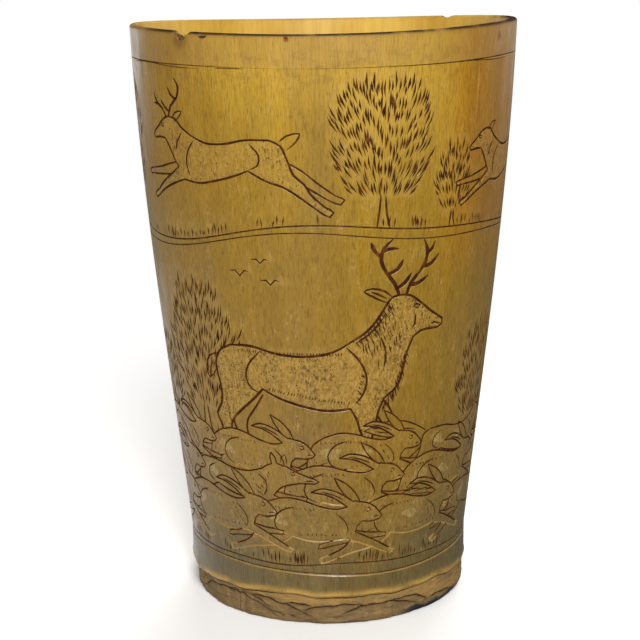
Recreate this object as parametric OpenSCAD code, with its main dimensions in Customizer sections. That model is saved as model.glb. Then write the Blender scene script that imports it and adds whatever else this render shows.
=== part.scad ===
// Horn drinking beaker: a tapered horn wall with a horn disc snapped into a groove as its bottom.
// Millimetres, +Z up. The origin is the centre of the ring that the cup stands on.

/* [Wall] */
// Height from the table to the rim at its highest
height = 122.2; // [95:0.1:150]
// Outer radius at the rim
rim_r = 40; // [34:0.1:46]
// Outer radius that the side would reach at the table
side_r = 28.7; // [26:0.1:31]
// How far the side swells past a straight taper at mid height
side_swell = 1.07; // [0:0.01:2]
// How much the side hollows low down and fills out near the lip
lip_swell = 0.3; // [0:0.01:0.6]
// Wall thickness at the rim
rim_wall = 1.8; // [1.2:0.1:3]
// Wall thickness at the foot
foot_wall = 2.7; // [2.2:0.1:4]
// Rounding of the outer rim edge
rim_round = 0.6; // [0.2:0.1:0.8]

/* [Foot] */
// Outer radius of the smooth band above the foot
foot_band_r = 30.1; // [29.5:0.1:32]
// Height at which the side starts above the smooth band
foot_band_top = 12.2; // [11.5:0.1:14]
// Depth of the step from the smooth band to the rough foot
foot_step = 0.3; // [0.1:0.05:0.6]
// Height of that step
foot_step_z = 6.2; // [5:0.1:8]
// Rounding of the foot's outer edge
foot_round = 1.6; // [0.5:0.1:2]

/* [Turned lines] */
// Distance of the upper turned line below the rim
rim_line_drop = 7.6; // [3:0.1:10]
// Distance of the lower turned line above the smooth band
foot_line_rise = 1.4; // [0.8:0.1:5]
// Width of a turned line
line_w = 0.5; // [0.3:0.05:0.8]
// Depth of a turned line
line_d = 0.22; // [0.1:0.01:0.4]

/* [Bottom disc] */
// Thickness of the disc
disc_t = 3.2; // [2:0.1:5]
// Height of the disc's underside above the table
disc_z = 3.4; // [2.5:0.1:6]
// How far the disc's edge reaches into its groove
groove_d = 0.9; // [0.5:0.1:1.3]
// Running clearance between the pieces
fit_gap = 0.05; // [0.02:0.01:0.1]
// Hollow in the disc's top, at its centre
disc_dish = 0.5; // [0:0.1:1]

/* [Seal] */
// Leg of the pitch fillet in the corner above the disc
seal_leg = 1.6; // [0.8:0.1:2.5]

/* [Hidden] */
$fn = 180;
side_steps = 20;
round_steps = 5;
dish_steps = 8;
horn = [0.72, 0.55, 0.24];
horn_dark = [0.36, 0.27, 0.17];
pitch = [0.12, 0.09, 0.07];

// The S-shaped term is scaled so that its largest reach is lip_swell.
s_curve_peak_share = 0.0962;

foot_r = foot_band_r - foot_step;
bore_bottom_r = foot_band_r - foot_wall;
disc_top = disc_z + disc_t;
disc_mid = disc_z + disc_t / 2;
disc_edge_r = bore_bottom_r + groove_d;
groove_z = [disc_z - fit_gap, disc_top + fit_gap];
foot_line_z = foot_band_top + foot_line_rise;
rim_line_z = height - rim_line_drop;
// Where the inside widens from the smooth band's bore to follow the side
bore_shoulder_z = foot_band_top + foot_wall;

// Outer radius of the side at a height, as a straight taper with a swell and an S-curve
function side(z) =
    let (t = z / height)
    side_r + (rim_r - side_r) * t
    + 4 * side_swell * t * (1 - t)
    - lip_swell / s_curve_peak_share * t * (1 - t) * (1 - 2 * t);

function outer(z) = z < foot_band_top ? foot_band_r : max(foot_band_r, side(z));

// Wall thickness at a height, thinning evenly from the foot to the rim
function wall(z) = foot_wall + (rim_wall - foot_wall) * z / height;

// Inner radius at a height, which leaves a full wall under the start of the side
function bore(z) =
    z < disc_top ? bore_bottom_r
    : max(bore_bottom_r, (z < bore_shoulder_z ? foot_band_r : outer(z)) - wall(z));

// Heights from low to high in even steps, both ends included
function steps(low, high, n) = [for (i = [0 : n]) low + (high - low) * i / n];

// A quarter of a circle about a centre, from one angle to another
function quarter(centre, r, from, to) =
    [for (i = [0 : round_steps])
        let (a = from + (to - from) * i / round_steps)
        centre + r * [cos(a), sin(a)]];

// A turned line's V, met on the way up the outside
function turned_line(z) = [
    [outer(z - line_w / 2), z - line_w / 2],
    [outer(z) - line_d, z],
    [outer(z + line_w / 2), z + line_w / 2]];

// Outside points between two heights, without those that a turned line takes
function side_points(low, high) =
    [for (z = steps(low, high, side_steps))
        if (abs(z - foot_line_z) > line_w && abs(z - rim_line_z) > line_w) [outer(z), z]];

outside = concat(
    quarter([foot_r - foot_round, foot_round], foot_round, -90, 0),
    [[foot_r, foot_step_z], [foot_band_r, foot_step_z + foot_step],
     [foot_band_r, foot_band_top]],
    turned_line(foot_line_z),
    side_points(foot_line_z, rim_line_z),
    turned_line(rim_line_z),
    side_points(rim_line_z, height - 2 * rim_round),
    quarter([rim_r - rim_round, height - rim_round], rim_round, 0, 90));

inside = concat(
    quarter([bore(height) + rim_round, height - rim_round], rim_round, 90, 180),
    [for (z = steps(height - 2 * rim_round, disc_top + groove_d, side_steps)) [bore(z), z]],
    [[bore_bottom_r, groove_z[1]],
     [disc_edge_r + fit_gap, disc_mid + (disc_t / 2 - groove_d)],
     [disc_edge_r + fit_gap, disc_mid - (disc_t / 2 - groove_d)],
     [bore_bottom_r, groove_z[0]],
     [bore_bottom_r, 0]]);

// Tapered horn tube with a smooth band, a stepped foot and a groove for the disc
module horn_wall()
    color(horn)
    rotate_extrude()
    polygon(concat(outside, inside));

// Disc with a bevelled edge that snaps into the groove, dished on top
module bottom_disc()
    color(horn_dark)
    rotate_extrude()
    polygon(concat(
        [[0, disc_z],
         [bore_bottom_r - fit_gap, disc_z],
         [disc_edge_r, disc_mid - (disc_t / 2 - groove_d)],
         [disc_edge_r, disc_mid + (disc_t / 2 - groove_d)],
         [bore_bottom_r - fit_gap, disc_top]],
        [for (i = [0 : dish_steps])
            let (share = 1 - i / dish_steps)
            [(bore_bottom_r - seal_leg - fit_gap) * share,
             disc_top - disc_dish * (1 - pow(share, 2))]]));

// Fillet of pitch in the corner between the disc and the wall
module pitch_seal()
    color(pitch)
    rotate_extrude()
    polygon(concat(
        [[bore_bottom_r - seal_leg, disc_top + fit_gap],
         [bore_bottom_r - fit_gap, disc_top + fit_gap],
         [bore_bottom_r - fit_gap, disc_top + seal_leg]],
        quarter([bore_bottom_r - seal_leg - fit_gap, disc_top + seal_leg + fit_gap],
                seal_leg - fit_gap, 0, -90)));

horn_wall();
bottom_disc();
pitch_seal();
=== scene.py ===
import math
import random

import bmesh
import bpy
import numpy as np
from mathutils import Matrix, Vector
from mathutils.geometry import delaunay_2d_cdt


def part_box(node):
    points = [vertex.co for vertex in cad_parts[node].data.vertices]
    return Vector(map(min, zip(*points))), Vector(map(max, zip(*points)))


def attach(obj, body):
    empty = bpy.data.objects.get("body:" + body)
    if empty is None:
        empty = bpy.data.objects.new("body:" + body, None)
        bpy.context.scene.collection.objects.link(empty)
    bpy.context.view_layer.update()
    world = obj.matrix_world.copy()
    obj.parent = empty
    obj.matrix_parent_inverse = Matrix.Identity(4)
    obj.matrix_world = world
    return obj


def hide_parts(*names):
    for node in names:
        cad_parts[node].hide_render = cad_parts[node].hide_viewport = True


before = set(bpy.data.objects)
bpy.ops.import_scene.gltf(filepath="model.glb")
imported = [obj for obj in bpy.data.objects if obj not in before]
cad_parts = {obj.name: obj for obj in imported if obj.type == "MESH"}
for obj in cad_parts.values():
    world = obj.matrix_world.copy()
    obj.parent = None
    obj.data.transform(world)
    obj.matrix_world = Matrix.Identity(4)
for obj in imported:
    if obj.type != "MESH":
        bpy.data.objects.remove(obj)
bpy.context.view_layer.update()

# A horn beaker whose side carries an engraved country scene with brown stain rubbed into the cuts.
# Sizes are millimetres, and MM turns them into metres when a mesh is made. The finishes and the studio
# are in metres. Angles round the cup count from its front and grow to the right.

MM = 0.001
_, wall_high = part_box("horn_wall")
disc_low, disc_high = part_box("bottom_disc")

# Wall, as the construction has it
HEIGHT = wall_high.z / MM
RIM_R = wall_high.x / MM
SIDE_R = 28.7
SIDE_SWELL = 1.07
LIP_SWELL = 0.3
S_CURVE_PEAK_SHARE = 0.0962
RIM_WALL = 1.8
FOOT_WALL = 2.7
RIM_ROUND = 0.6
FOOT_BAND_R = 30.1
FOOT_BAND_TOP = 12.2
FOOT_STEP_Z = 6.2
FOOT_ROUND = 1.6
GROOVE_D = 0.9
FIT_GAP = 0.05
BORE_BOTTOM_R = FOOT_BAND_R - FOOT_WALL
DISC_Z = disc_low.z / MM
DISC_TOP = disc_high.z / MM

# The side is unrolled to a sheet whose width is the girth at this radius.
ROLL_R = 35.0
GIRTH = 2 * math.pi * ROLL_R
COLUMNS = 320
SHEET_LOW = FOOT_ROUND
SHEET_HIGH = 118.4

# The spun side between the foot and the rim only holds the place of the engraved one.
STAND_IN_ROWS_Z = (40, 80)
LIP_ROWS = 5
INSIDE_ROWS = 14
ROUND_STEPS = 5


def side(z):
    t = z / HEIGHT
    swell = 4 * SIDE_SWELL * t * (1 - t)
    s_curve = LIP_SWELL / S_CURVE_PEAK_SHARE * t * (1 - t) * (1 - 2 * t)
    return SIDE_R + (RIM_R - SIDE_R) * t + swell - s_curve


def outer(z):
    if z < FOOT_BAND_TOP:
        return FOOT_BAND_R
    return max(FOOT_BAND_R, side(z))


def wall_at(z):
    return FOOT_WALL + (RIM_WALL - FOOT_WALL) * z / HEIGHT


def bore(z):
    if z < FOOT_BAND_TOP + FOOT_WALL:
        return max(BORE_BOTTOM_R, FOOT_BAND_R - wall_at(z))
    return max(BORE_BOTTOM_R, outer(z) - wall_at(z))


def smoothstep(low, high, value):
    t = min(1.0, max(0.0, (value - low) / (high - low)))
    return t * t * (3 - 2 * t)


def even(low, high, count):
    return [low + (high - low) * i / count for i in range(count + 1)]


def unrolled(degrees):
    """Where an angle from the front lies on the unrolled side"""
    return math.radians(degrees) * ROLL_R


def facing(x, y):
    """The angle of a place from the front, in radians"""
    return math.atan2(x, -y)


# Hand tools

def clear_selection():
    if bpy.context.object and bpy.context.object.mode != "OBJECT":
        bpy.ops.object.mode_set(mode="OBJECT")
    bpy.ops.object.select_all(action="DESELECT")


def take(piece):
    clear_selection()
    piece.select_set(True)
    bpy.context.view_layer.objects.active = piece


def edit(piece):
    take(piece)
    bpy.ops.object.mode_set(mode="EDIT")
    bpy.ops.mesh.select_all(action="SELECT")


def leave():
    bpy.ops.object.mode_set(mode="OBJECT")


def select_faces(piece, wanted):
    bpy.ops.mesh.select_mode(type="FACE")
    bpy.ops.mesh.select_all(action="DESELECT")
    mesh = bmesh.from_edit_mesh(piece.data)
    for face in mesh.faces:
        if wanted(face):
            face.select_set(True)
    bmesh.update_edit_mesh(piece.data)


def apply_modifiers(piece):
    take(piece)
    for modifier in list(piece.modifiers):
        bpy.ops.object.modifier_apply(modifier=modifier.name)


def smooth(piece, degrees):
    take(piece)
    bpy.ops.object.shade_smooth_by_angle(angle=math.radians(degrees))


def mesh_piece(name, points, faces):
    mesh = bpy.data.meshes.new(name)
    mesh.from_pydata(points, [], faces)
    piece = bpy.data.objects.new(name, mesh)
    bpy.context.scene.collection.objects.link(piece)
    return piece


def dress(piece, material):
    piece.data.materials.clear()
    piece.data.materials.append(material)


# Finishes

WHITE = (1.0, 1.0, 1.0, 1.0)
SPOT_CORE = 0.3


def colour(red, green, blue):
    """A colour as seen on a screen, from 0 to 255, as the shader's own values"""
    def linear(value):
        share = value / 255
        return share / 12.92 if share <= 0.04045 else ((share + 0.055) / 1.055) ** 2.4
    return (linear(red), linear(green), linear(blue), 1.0)


class Nodes:
    """A node tree, built one node at a time"""

    def __init__(self, tree):
        self.tree = tree

    def node(self, kind, **settings):
        made = self.tree.nodes.new(kind)
        for key, value in settings.items():
            setattr(made, key, value)
        return made

    def feed(self, socket, value):
        if isinstance(value, bpy.types.NodeSocket):
            self.tree.links.new(value, socket)
        else:
            socket.default_value = value

    def output(self, kind, out, fed, **settings):
        """An output of a new node, whose inputs are fed by their names or numbers"""
        made = self.node(kind, **settings)
        for key, value in fed.items():
            self.feed(made.inputs[key], value)
        return made.outputs[out]

    def sum(self, operation, first, second=0.0, clamp=False):
        return self.output("ShaderNodeMath", 0, {0: first, 1: second}, operation=operation, use_clamp=clamp)

    def times(self, first, *others):
        for other in others:
            first = self.sum("MULTIPLY", first, other)
        return first

    def ray(self, kind):
        """One for what this kind of ray sees, and otherwise nothing"""
        return self.output("ShaderNodeLightPath", f"Is {kind} Ray", {})

    def show(self, share, first, second, result):
        """Two shaders, mixed by a share, as the tree's result"""
        mixed = self.output("ShaderNodeMixShader", 0, {0: share, 1: first, 2: second})
        self.feed(self.tree.nodes[result].inputs["Surface"], mixed)


class Finish(Nodes):
    """A material on the object's own coordinates"""

    def __init__(self, name):
        self.material = bpy.data.materials.new(name)
        self.material.use_nodes = True
        super().__init__(self.material.node_tree)
        self.shader = self.tree.nodes["Principled BSDF"]
        self.place = self.output("ShaderNodeTexCoord", "Object", {})

    def noise(self, wide, tall, shift=0.0, detail=2.0, rough=0.5, distort=0.0):
        """Noise with a grain of these sizes in millimetres"""
        grain = self.output("ShaderNodeMapping", "Vector", {
            "Vector": self.place, "Location": (shift, shift, shift),
            "Scale": (1 / (wide * MM), 1 / (wide * MM), 1 / (tall * MM))})
        return self.output("ShaderNodeTexNoise", "Fac", {
            "Vector": grain, "Scale": 1.0, "Detail": detail, "Roughness": rough, "Distortion": distort})

    def ramp(self, value, *stops):
        """A colour along a value, from stops of a place and the shader's own red, green and blue"""
        made = self.node("ShaderNodeValToRGB")
        band = made.color_ramp
        while len(band.elements) < len(stops):
            band.elements.new(1.0)
        for element, (at, *shade) in zip(band.elements, stops):
            element.position = at
            element.color = (*shade, 1.0)
        self.feed(made.inputs["Fac"], value)
        return made.outputs["Color"]

    def tones(self, value, *stops):
        """A colour along a value, from stops of a place and a colour as seen on a screen"""
        return self.ramp(value, *((at, *colour(*shade)[:3]) for at, *shade in stops))

    def blend(self, share, below, above, kind="MIX"):
        return self.output("ShaderNodeMix", 2, {"Factor": share, 6: below, 7: above},
                           data_type="RGBA", blend_type=kind)

    def tint(self, base, shade, *shares):
        """The base turned to a colour as seen on a screen, by the product of the shares"""
        return self.blend(self.times(*shares), base, colour(*shade))

    def streaked(self, base, share, value, *stops):
        """The base multiplied by a ramp's colours"""
        return self.blend(share, base, self.ramp(value, *stops), "MULTIPLY")

    def between(self, value, low, high, out_low=0.0, out_high=1.0):
        return self.output("ShaderNodeMapRange", "Result", {
            "Value": value, "From Min": low, "From Max": high, "To Min": out_low, "To Max": out_high},
            interpolation_type="SMOOTHSTEP")

    def axis(self, name):
        return self.output("ShaderNodeSeparateXYZ", name, {0: self.place})

    def attribute(self, name):
        return self.output("ShaderNodeAttribute", "Fac", {}, attribute_name=name)

    def spot(self, middle, reach):
        """One at a place in millimetres, falling to nothing this far away"""
        gap = self.output("ShaderNodeVectorMath", "Value", {
            0: self.place, 1: tuple(value * MM for value in middle)}, operation="DISTANCE")
        return self.between(gap, reach * MM, reach * SPOT_CORE * MM)

    def bump(self, height, depth, under=None):
        """A bump of this depth in millimetres, on top of another where there is one"""
        fed = {"Height": height, "Distance": depth * MM}
        if under is not None:
            fed["Normal"] = under
        return self.output("ShaderNodeBump", "Normal", fed)

    def close(self, base, roughness, normal, **plain):
        for key, value in (("Base Color", base), ("Roughness", roughness), ("Normal", normal)):
            if value is not None:
                self.feed(self.shader.inputs[key], value)
        for key, value in plain.items():
            self.shader.inputs[key.replace("_", " ")].default_value = value
        return self.material


# Camera at the photograph's viewing angle

CAMERA_AT = (0.0, -332.64, 133.77)
CAMERA_PITCH = 0.2239
CAMERA_ROLL = 0.0110
CAMERA_YAW = 0.0040
LENS = 88.6


def set_camera():
    camera = bpy.data.cameras.new("camera")
    camera.lens = LENS
    camera.sensor_width = 36.0
    camera.clip_start = 0.01
    holder = bpy.data.objects.new("camera", camera)
    bpy.context.scene.collection.objects.link(holder)
    turn = (Matrix.Rotation(CAMERA_YAW, 4, "Z")
            @ Matrix.Rotation(math.pi / 2 - CAMERA_PITCH, 4, "X")
            @ Matrix.Rotation(-CAMERA_ROLL, 4, "Z"))
    holder.matrix_world = Matrix.Translation(Vector(CAMERA_AT) * MM) @ turn
    bpy.context.scene.camera = holder


# Studio, where the world and the floor are white to the camera and dimmer to the cup

FLOOR_SHADE = 0.93
FLOOR_GLOW = 0.42
FLOOR_GLOSS = 0.12
LEFT_GLOW = 0.9
FLOOR_FADE = (0.10, 0.34)
LEFT_FADE = (0.42, 0.20)
LEFT_EDGE = (0.02, -0.06)
SKY_SHADE = (0.98, 0.985, 1.0, 1.0)
SKY_LIGHT = 0.16
SKY_GLOSS_CUT = 0.11

# Each lamp's name, place, aim, width, power and colour, and whether the gloss on the cup shows it
LAMPS = (
    ("key", (0.10, -0.9, 0.62), (0.0, 0.0, 0.06), 0.45, 16.0, (1.0, 0.985, 0.96), True),
    ("left_back", (-0.52, 0.76, 0.06), (0.0, 0.0, 0.03), 0.5, 1.7, (0.94, 0.97, 1.0), True),
    ("right_back", (0.66, 0.70, 0.16), (0.0, 0.0, 0.05), 0.8, 1.8, (1.0, 0.92, 0.84), True),
    ("back", (0.1, 0.6, 0.75), (0.0, 0.0, 0.11), 0.6, 6.0, (1.0, 0.98, 0.94), False),
)


def soft_lamp(name, at, aim, size, power, shade, in_gloss):
    lamp = bpy.data.lights.new(name, "AREA")
    lamp.shape = "DISK"
    lamp.size = size
    lamp.energy = power
    lamp.color = shade
    holder = bpy.data.objects.new(name, lamp)
    bpy.context.scene.collection.objects.link(holder)
    holder.location = at
    holder.rotation_euler = (Vector(aim) - Vector(at)).to_track_quat("-Z", "Y").to_euler()
    holder.visible_glossy = in_gloss


def grey(value):
    return (value, value, value, 1.0)


def pale_floor():
    """A matt pale floor that fades to white away from the cup and is bright in the gloss on its left"""
    floor = Finish("pale_floor")
    camera, glossy = floor.ray("Camera"), floor.ray("Glossy")
    reach = floor.output("ShaderNodeVectorMath", "Value", {0: floor.place}, operation="LENGTH")
    left = floor.times(floor.between(floor.axis("X"), *LEFT_EDGE), floor.between(reach, *LEFT_FADE))
    far = floor.times(camera, floor.between(reach, *FLOOR_FADE))
    white = floor.sum("MAXIMUM", floor.ray("Transmission"), far)
    white = floor.sum("MAXIMUM", white, floor.times(glossy, left))
    lit = floor.blend(glossy, grey(FLOOR_GLOW), grey(FLOOR_GLOSS))
    lit = floor.blend(left, lit, grey(LEFT_GLOW))
    floor.close(floor.blend(camera, lit, grey(FLOOR_SHADE)), 0.9, None)
    glow = floor.output("ShaderNodeEmission", 0, {"Color": WHITE, "Strength": 1.0})
    floor.show(white, floor.shader.outputs[0], glow, "Material Output")
    return floor.material


def set_sky():
    world = bpy.data.worlds.new("studio")
    bpy.context.scene.world = world
    world.use_nodes = True
    sky = Nodes(world.node_tree)
    light = sky.tree.nodes["Background"]
    light.inputs["Color"].default_value = SKY_SHADE
    dimmed = sky.sum("SUBTRACT", SKY_LIGHT, sky.times(sky.ray("Glossy"), SKY_GLOSS_CUT))
    sky.feed(light.inputs["Strength"], dimmed)
    plain = sky.output("ShaderNodeBackground", 0, {"Color": WHITE, "Strength": 1.0})
    seen = sky.sum("MAXIMUM", sky.ray("Camera"), sky.ray("Transmission"))
    sky.show(seen, light.outputs[0], plain, "World Output")


def set_studio():
    bpy.context.scene.view_settings.view_transform = "Standard"
    clear_selection()
    bpy.ops.mesh.primitive_plane_add(size=3.0, location=(0, 0, 0))
    floor = bpy.context.object
    floor.name = "floor"
    dress(floor, pale_floor())
    set_sky()
    for lamp in LAMPS:
        soft_lamp(*lamp)


# The plain wall

def quarter(r, z, radius, start, stop):
    return [(r + radius * math.cos(math.radians(a)), z + radius * math.sin(math.radians(a)))
            for a in even(start, stop, ROUND_STEPS)]


def wall_profile():
    """Radius and height, once round: foot, outside, rim, inside, groove"""
    disc_mid = (DISC_Z + DISC_TOP) / 2
    groove_half = (DISC_TOP - DISC_Z) / 2 - GROOVE_D
    deep = BORE_BOTTOM_R + GROOVE_D + FIT_GAP
    points = [(BORE_BOTTOM_R, 0.0)]
    points += quarter(FOOT_BAND_R - FOOT_ROUND, FOOT_ROUND, FOOT_ROUND, -90, 0)
    points += [(outer(z), z) for z in STAND_IN_ROWS_Z]
    points += [(outer(z), z) for z in even(SHEET_HIGH, HEIGHT - RIM_ROUND, LIP_ROWS)]
    points += quarter(RIM_R - RIM_ROUND, HEIGHT - RIM_ROUND, RIM_ROUND, 0, 90)[1:]
    points += quarter(bore(HEIGHT) + RIM_ROUND, HEIGHT - RIM_ROUND, RIM_ROUND, 90, 180)
    points += [(bore(z), z)
               for z in even(HEIGHT - 2 * RIM_ROUND, DISC_TOP + GROOVE_D, INSIDE_ROWS)]
    points += [(BORE_BOTTOM_R, DISC_TOP + FIT_GAP), (deep, disc_mid + groove_half),
               (deep, disc_mid - groove_half), (BORE_BOTTOM_R, DISC_Z - FIT_GAP)]
    return points


def plain_wall():
    profile = wall_profile()
    first_r, first_z = profile[0]
    clear_selection()
    bpy.ops.mesh.primitive_circle_add(vertices=COLUMNS, radius=first_r * MM, location=(0, 0, first_z * MM))
    wall = bpy.context.object
    wall.name = "engraved_horn"
    edit(wall)
    for (r0, z0), (r1, z1) in zip(profile, profile[1:] + profile[:1]):
        bpy.ops.mesh.extrude_region_move(TRANSFORM_OT_translate={"value": (0, 0, (z1 - z0) * MM)})
        bpy.ops.transform.resize(value=(r1 / r0, r1 / r0, 1), center_override=(0, 0, z1 * MM))
    bpy.ops.mesh.select_all(action="SELECT")
    bpy.ops.mesh.remove_doubles(threshold=0.001 * MM)
    bpy.ops.mesh.normals_make_consistent(inside=False)
    leave()
    return wall


# The rough foot and the uneven rim

ROUGH_TOP = 6.3
BEAD_H = 0.9
BEAD_RISE = 0.16
FOOT_DROP = 0.42
LEFT_WEAR = 0.6
ROUGHNESS = 0.06
MOST_LOSS = 1.5
FLAKE_LAP = 0.25
FLAKE_SLOPE = 0.18
FOOT_SHAPED_TOP = 10

# Each flake has a place round the foot, a half width, a low end, an arch and a depth.
FLAKE_RANGES = ((-GIRTH / 2, GIRTH / 2), (9, 24), (-1.6, 0.6), (2.4, 6.4), (0.14, 0.32))
FLAKES = 22
DEEPEST_FLAKE = FLAKE_RANGES[-1][1]
flake_dice = random.Random(11)
flakes = [[flake_dice.uniform(*reach) for reach in FLAKE_RANGES] for _ in range(FLAKES)]


def wave(u, seed, *parts):
    """A gentle wave that closes on itself round the girth, from pairs of a count and a height"""
    turn = u / ROLL_R
    return sum(high * math.sin(count * turn + seed * (i + 1)) for i, (count, high) in enumerate(parts))


def rough_top(u):
    """Where the rough foot ends, under an uneven bead"""
    return ROUGH_TOP + wave(u, 1.7, (2, 0.25), (5, 0.22), (11, 0.16), (23, 0.10))


def round_gap(u, middle):
    return (u - middle + GIRTH / 2) % GIRTH - GIRTH / 2


def flake_edge(flake, u):
    """The height of a flake's arched edge, or None beside the flake"""
    middle, half, low, arch, _ = flake
    share = round_gap(u, middle) / half
    if abs(share) >= 1:
        return None
    return low + arch * (1 - abs(share) ** 2.4) + wave(u, middle, (31, 0.12), (57, 0.08))


def open_edges(u):
    """The flake edges that show at a place, as heights and depths, the later flakes over the earlier"""
    top = rough_top(u)
    shown = []
    for flake in flakes:
        edge = flake_edge(flake, u)
        if edge is not None and edge < top:
            shown = [other for other in shown if other[0] > edge + FLAKE_LAP] + [(edge, flake[-1])]
    return shown


def foot_loss(u, z):
    """How far the foot's surface lies inside the smooth band's radius"""
    top = rough_top(u)
    if z > top + 2 * BEAD_H:
        return 0.0
    bead = math.exp(-((z - top - 0.6 * BEAD_H) / (0.45 * BEAD_H)) ** 2)
    loss = FOOT_DROP * smoothstep(top + 0.1, top - 0.35, z) - BEAD_RISE * bead
    if z < top:
        loss += LEFT_WEAR * max(0.0, -math.sin(u / ROLL_R)) ** 3 * smoothstep(top, top - 1.6, z)
        for edge, deep in open_edges(u):
            loss += deep * smoothstep(edge + FLAKE_SLOPE, edge - FLAKE_SLOPE, z)
        loss += ROUGHNESS * wave(u + 3 * z, z, (37, 0.5), (71, 0.5), (113, 0.4))
    return min(loss, MOST_LOSS)


RIM_SADDLE = 0.56
RIM_TILT = 0.25
RIM_BACK = 0.07
SETTLE_Z = 96


def rim_dip(turn):
    """How far the rim lies under its highest place, at an angle from the front"""
    rise = -RIM_SADDLE * math.cos(2 * turn) + RIM_TILT * math.sin(turn) - RIM_BACK * math.cos(turn)
    return max(0.0, RIM_SADDLE + RIM_TILT - rise)


def settle_rim(piece):
    for vertex in piece.data.vertices:
        x, y, z = vertex.co
        vertex.co.z -= rim_dip(facing(x, y)) * smoothstep(SETTLE_Z, HEIGHT, z / MM) * MM


# The engraver's cuts: each is a line on the unrolled side, its widths along the way, the stain piece that
# it goes to and whether it holds stain. Coats and patches are outlines of fur and of scraped places.

CUT_STEP = 1.15
CUT_SLOPE = 0.5
GROUND_STEPS = 210
SEAM_REACH = 25
MEETING_TRIES = 7
SHORTEST_STUB = 0.2
PALE_BELLY = 4.6
PRICK_SIZES = (0.16, 0.3)
STAINED_PRICKS = 0.72
cuts = []
coats = []
patches = []
hand = random.Random(5)


def through(points, step=CUT_STEP):
    """Even points on a smooth line through the given ones"""
    if len(points) == 2:
        (x0, y0), (x1, y1) = points
        count = max(1, round(math.hypot(x1 - x0, y1 - y0) / step))
        return [(x0 + (x1 - x0) * i / count, y0 + (y1 - y0) * i / count) for i in range(count + 1)]
    spots = [Vector(p) for p in points]
    first = spots[0] * 2 - spots[1]
    last = spots[-1] * 2 - spots[-2]
    chain = [first] + spots + [last]
    line = []
    for before, start, stop, after in zip(chain, chain[1:], chain[2:], chain[3:]):
        steps = ((before, start), (start, stop), (stop, after))
        gaps = [max(1e-3, (b - a).length) ** 0.5 for a, b in steps]
        lean_in = ((start - before) / gaps[0] - (stop - before) / (gaps[0] + gaps[1])
                   + (stop - start) / gaps[1]) * gaps[1]
        lean_out = ((stop - start) / gaps[1] - (after - start) / (gaps[1] + gaps[2])
                    + (after - stop) / gaps[2]) * gaps[1]
        count = max(1, round((stop - start).length / step))
        for i in range(count):
            t = i / count
            spot = ((2 * t ** 3 - 3 * t ** 2 + 1) * start + (t ** 3 - 2 * t ** 2 + t) * lean_in
                    + (3 * t ** 2 - 2 * t ** 3) * stop + (t ** 3 - t ** 2) * lean_out)
            line.append((spot.x, spot.y))
    line.append(tuple(spots[-1]))
    return line


def tapered(count, width, start=0.35, stop=0.2):
    """Widths along a cut that swells in and runs out"""
    widths = []
    for i in range(count):
        t = i / (count - 1)
        swell = min(1.0, start + (1 - start) * t / 0.12, stop + (1 - stop) * (1 - t) / 0.2)
        widths.append(width * swell * hand.uniform(0.88, 1.1))
    return widths


def cut(line, width, group, stain=True, start=0.35, stop=0.2):
    if len(line) > 1:
        cuts.append({"line": line, "widths": tapered(len(line), width, start, stop),
                     "group": group, "stain": stain})


def cut_curves(put, curves, width, group, start=0.35, stop=0.2):
    """Cuts along smooth curves, each placed on the side by put"""
    for curve in curves:
        cut(put(through(curve)), width, group, start=start, stop=stop)


def sides(corners):
    """The straight lines from corner to corner"""
    return [[*pair] for pair in zip(corners, corners[1:])]


def stretch(one, run):
    """A stretch of a cut, from its places with their widths"""
    line, widths = zip(*run)
    return {**one, "line": list(line), "widths": list(widths)}


def limits(outline):
    """The left, right, low and high end of an outline"""
    us, zs = zip(*outline)
    return min(us), max(us), min(zs), max(zs)


def inside(outline, spot):
    x, y = spot
    odd = False
    for (x0, y0), (x1, y1) in zip(outline, outline[1:] + outline[:1]):
        if (y0 > y) != (y1 > y) and x < x0 + (x1 - x0) * (y - y0) / (y1 - y0):
            odd = not odd
    return odd


def clear_under(outline):
    """Takes the earlier cuts away inside an outline, on both sides of the seam at the back"""
    coats.append((outline, 0.0))
    patches[:] = [patch for patch in patches if not inside(outline, tuple(np.mean(patch[0], 0)))]
    for shift in (-GIRTH, 0.0, GIRTH):
        moved = [(u + shift, z) for u, z in outline]
        if min(abs(u) for u, _ in moved) < GIRTH / 2 + SEAM_REACH:
            hide_behind(moved)


def meeting(outline, shown, hidden):
    """Where a line between a place outside and one inside meets an outline"""
    for _ in range(MEETING_TRIES):
        middle = ((shown[0] + hidden[0]) / 2, (shown[1] + hidden[1]) / 2)
        if inside(outline, middle):
            hidden = middle
        else:
            shown = middle
    return shown


def shown_runs(outline, old):
    """The stretches of a cut outside an outline, as places and widths"""
    line, widths = old["line"], old["widths"]
    hidden = [inside(outline, spot) for spot in line]
    runs = [[]]
    for i, spot in enumerate(line):
        if i > 0 and hidden[i] != hidden[i - 1]:
            pair = (spot, line[i - 1]) if hidden[i - 1] else (line[i - 1], spot)
            edge = meeting(outline, *pair)
            if math.dist(edge, pair[0]) > SHORTEST_STUB:
                runs[-1].append((edge, widths[i]))
        if not hidden[i]:
            runs[-1].append((spot, widths[i]))
        elif runs[-1]:
            runs.append([])
    return runs


def hide_behind(outline):
    left, right, low, high = limits(outline)
    kept = []
    for old in cuts:
        if not any(left < x < right and low < y < high for x, y in old["line"]):
            kept.append(old)
            continue
        kept.extend(stretch(old, run) for run in shown_runs(outline, old) if len(run) > 1)
    cuts[:] = kept


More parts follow.
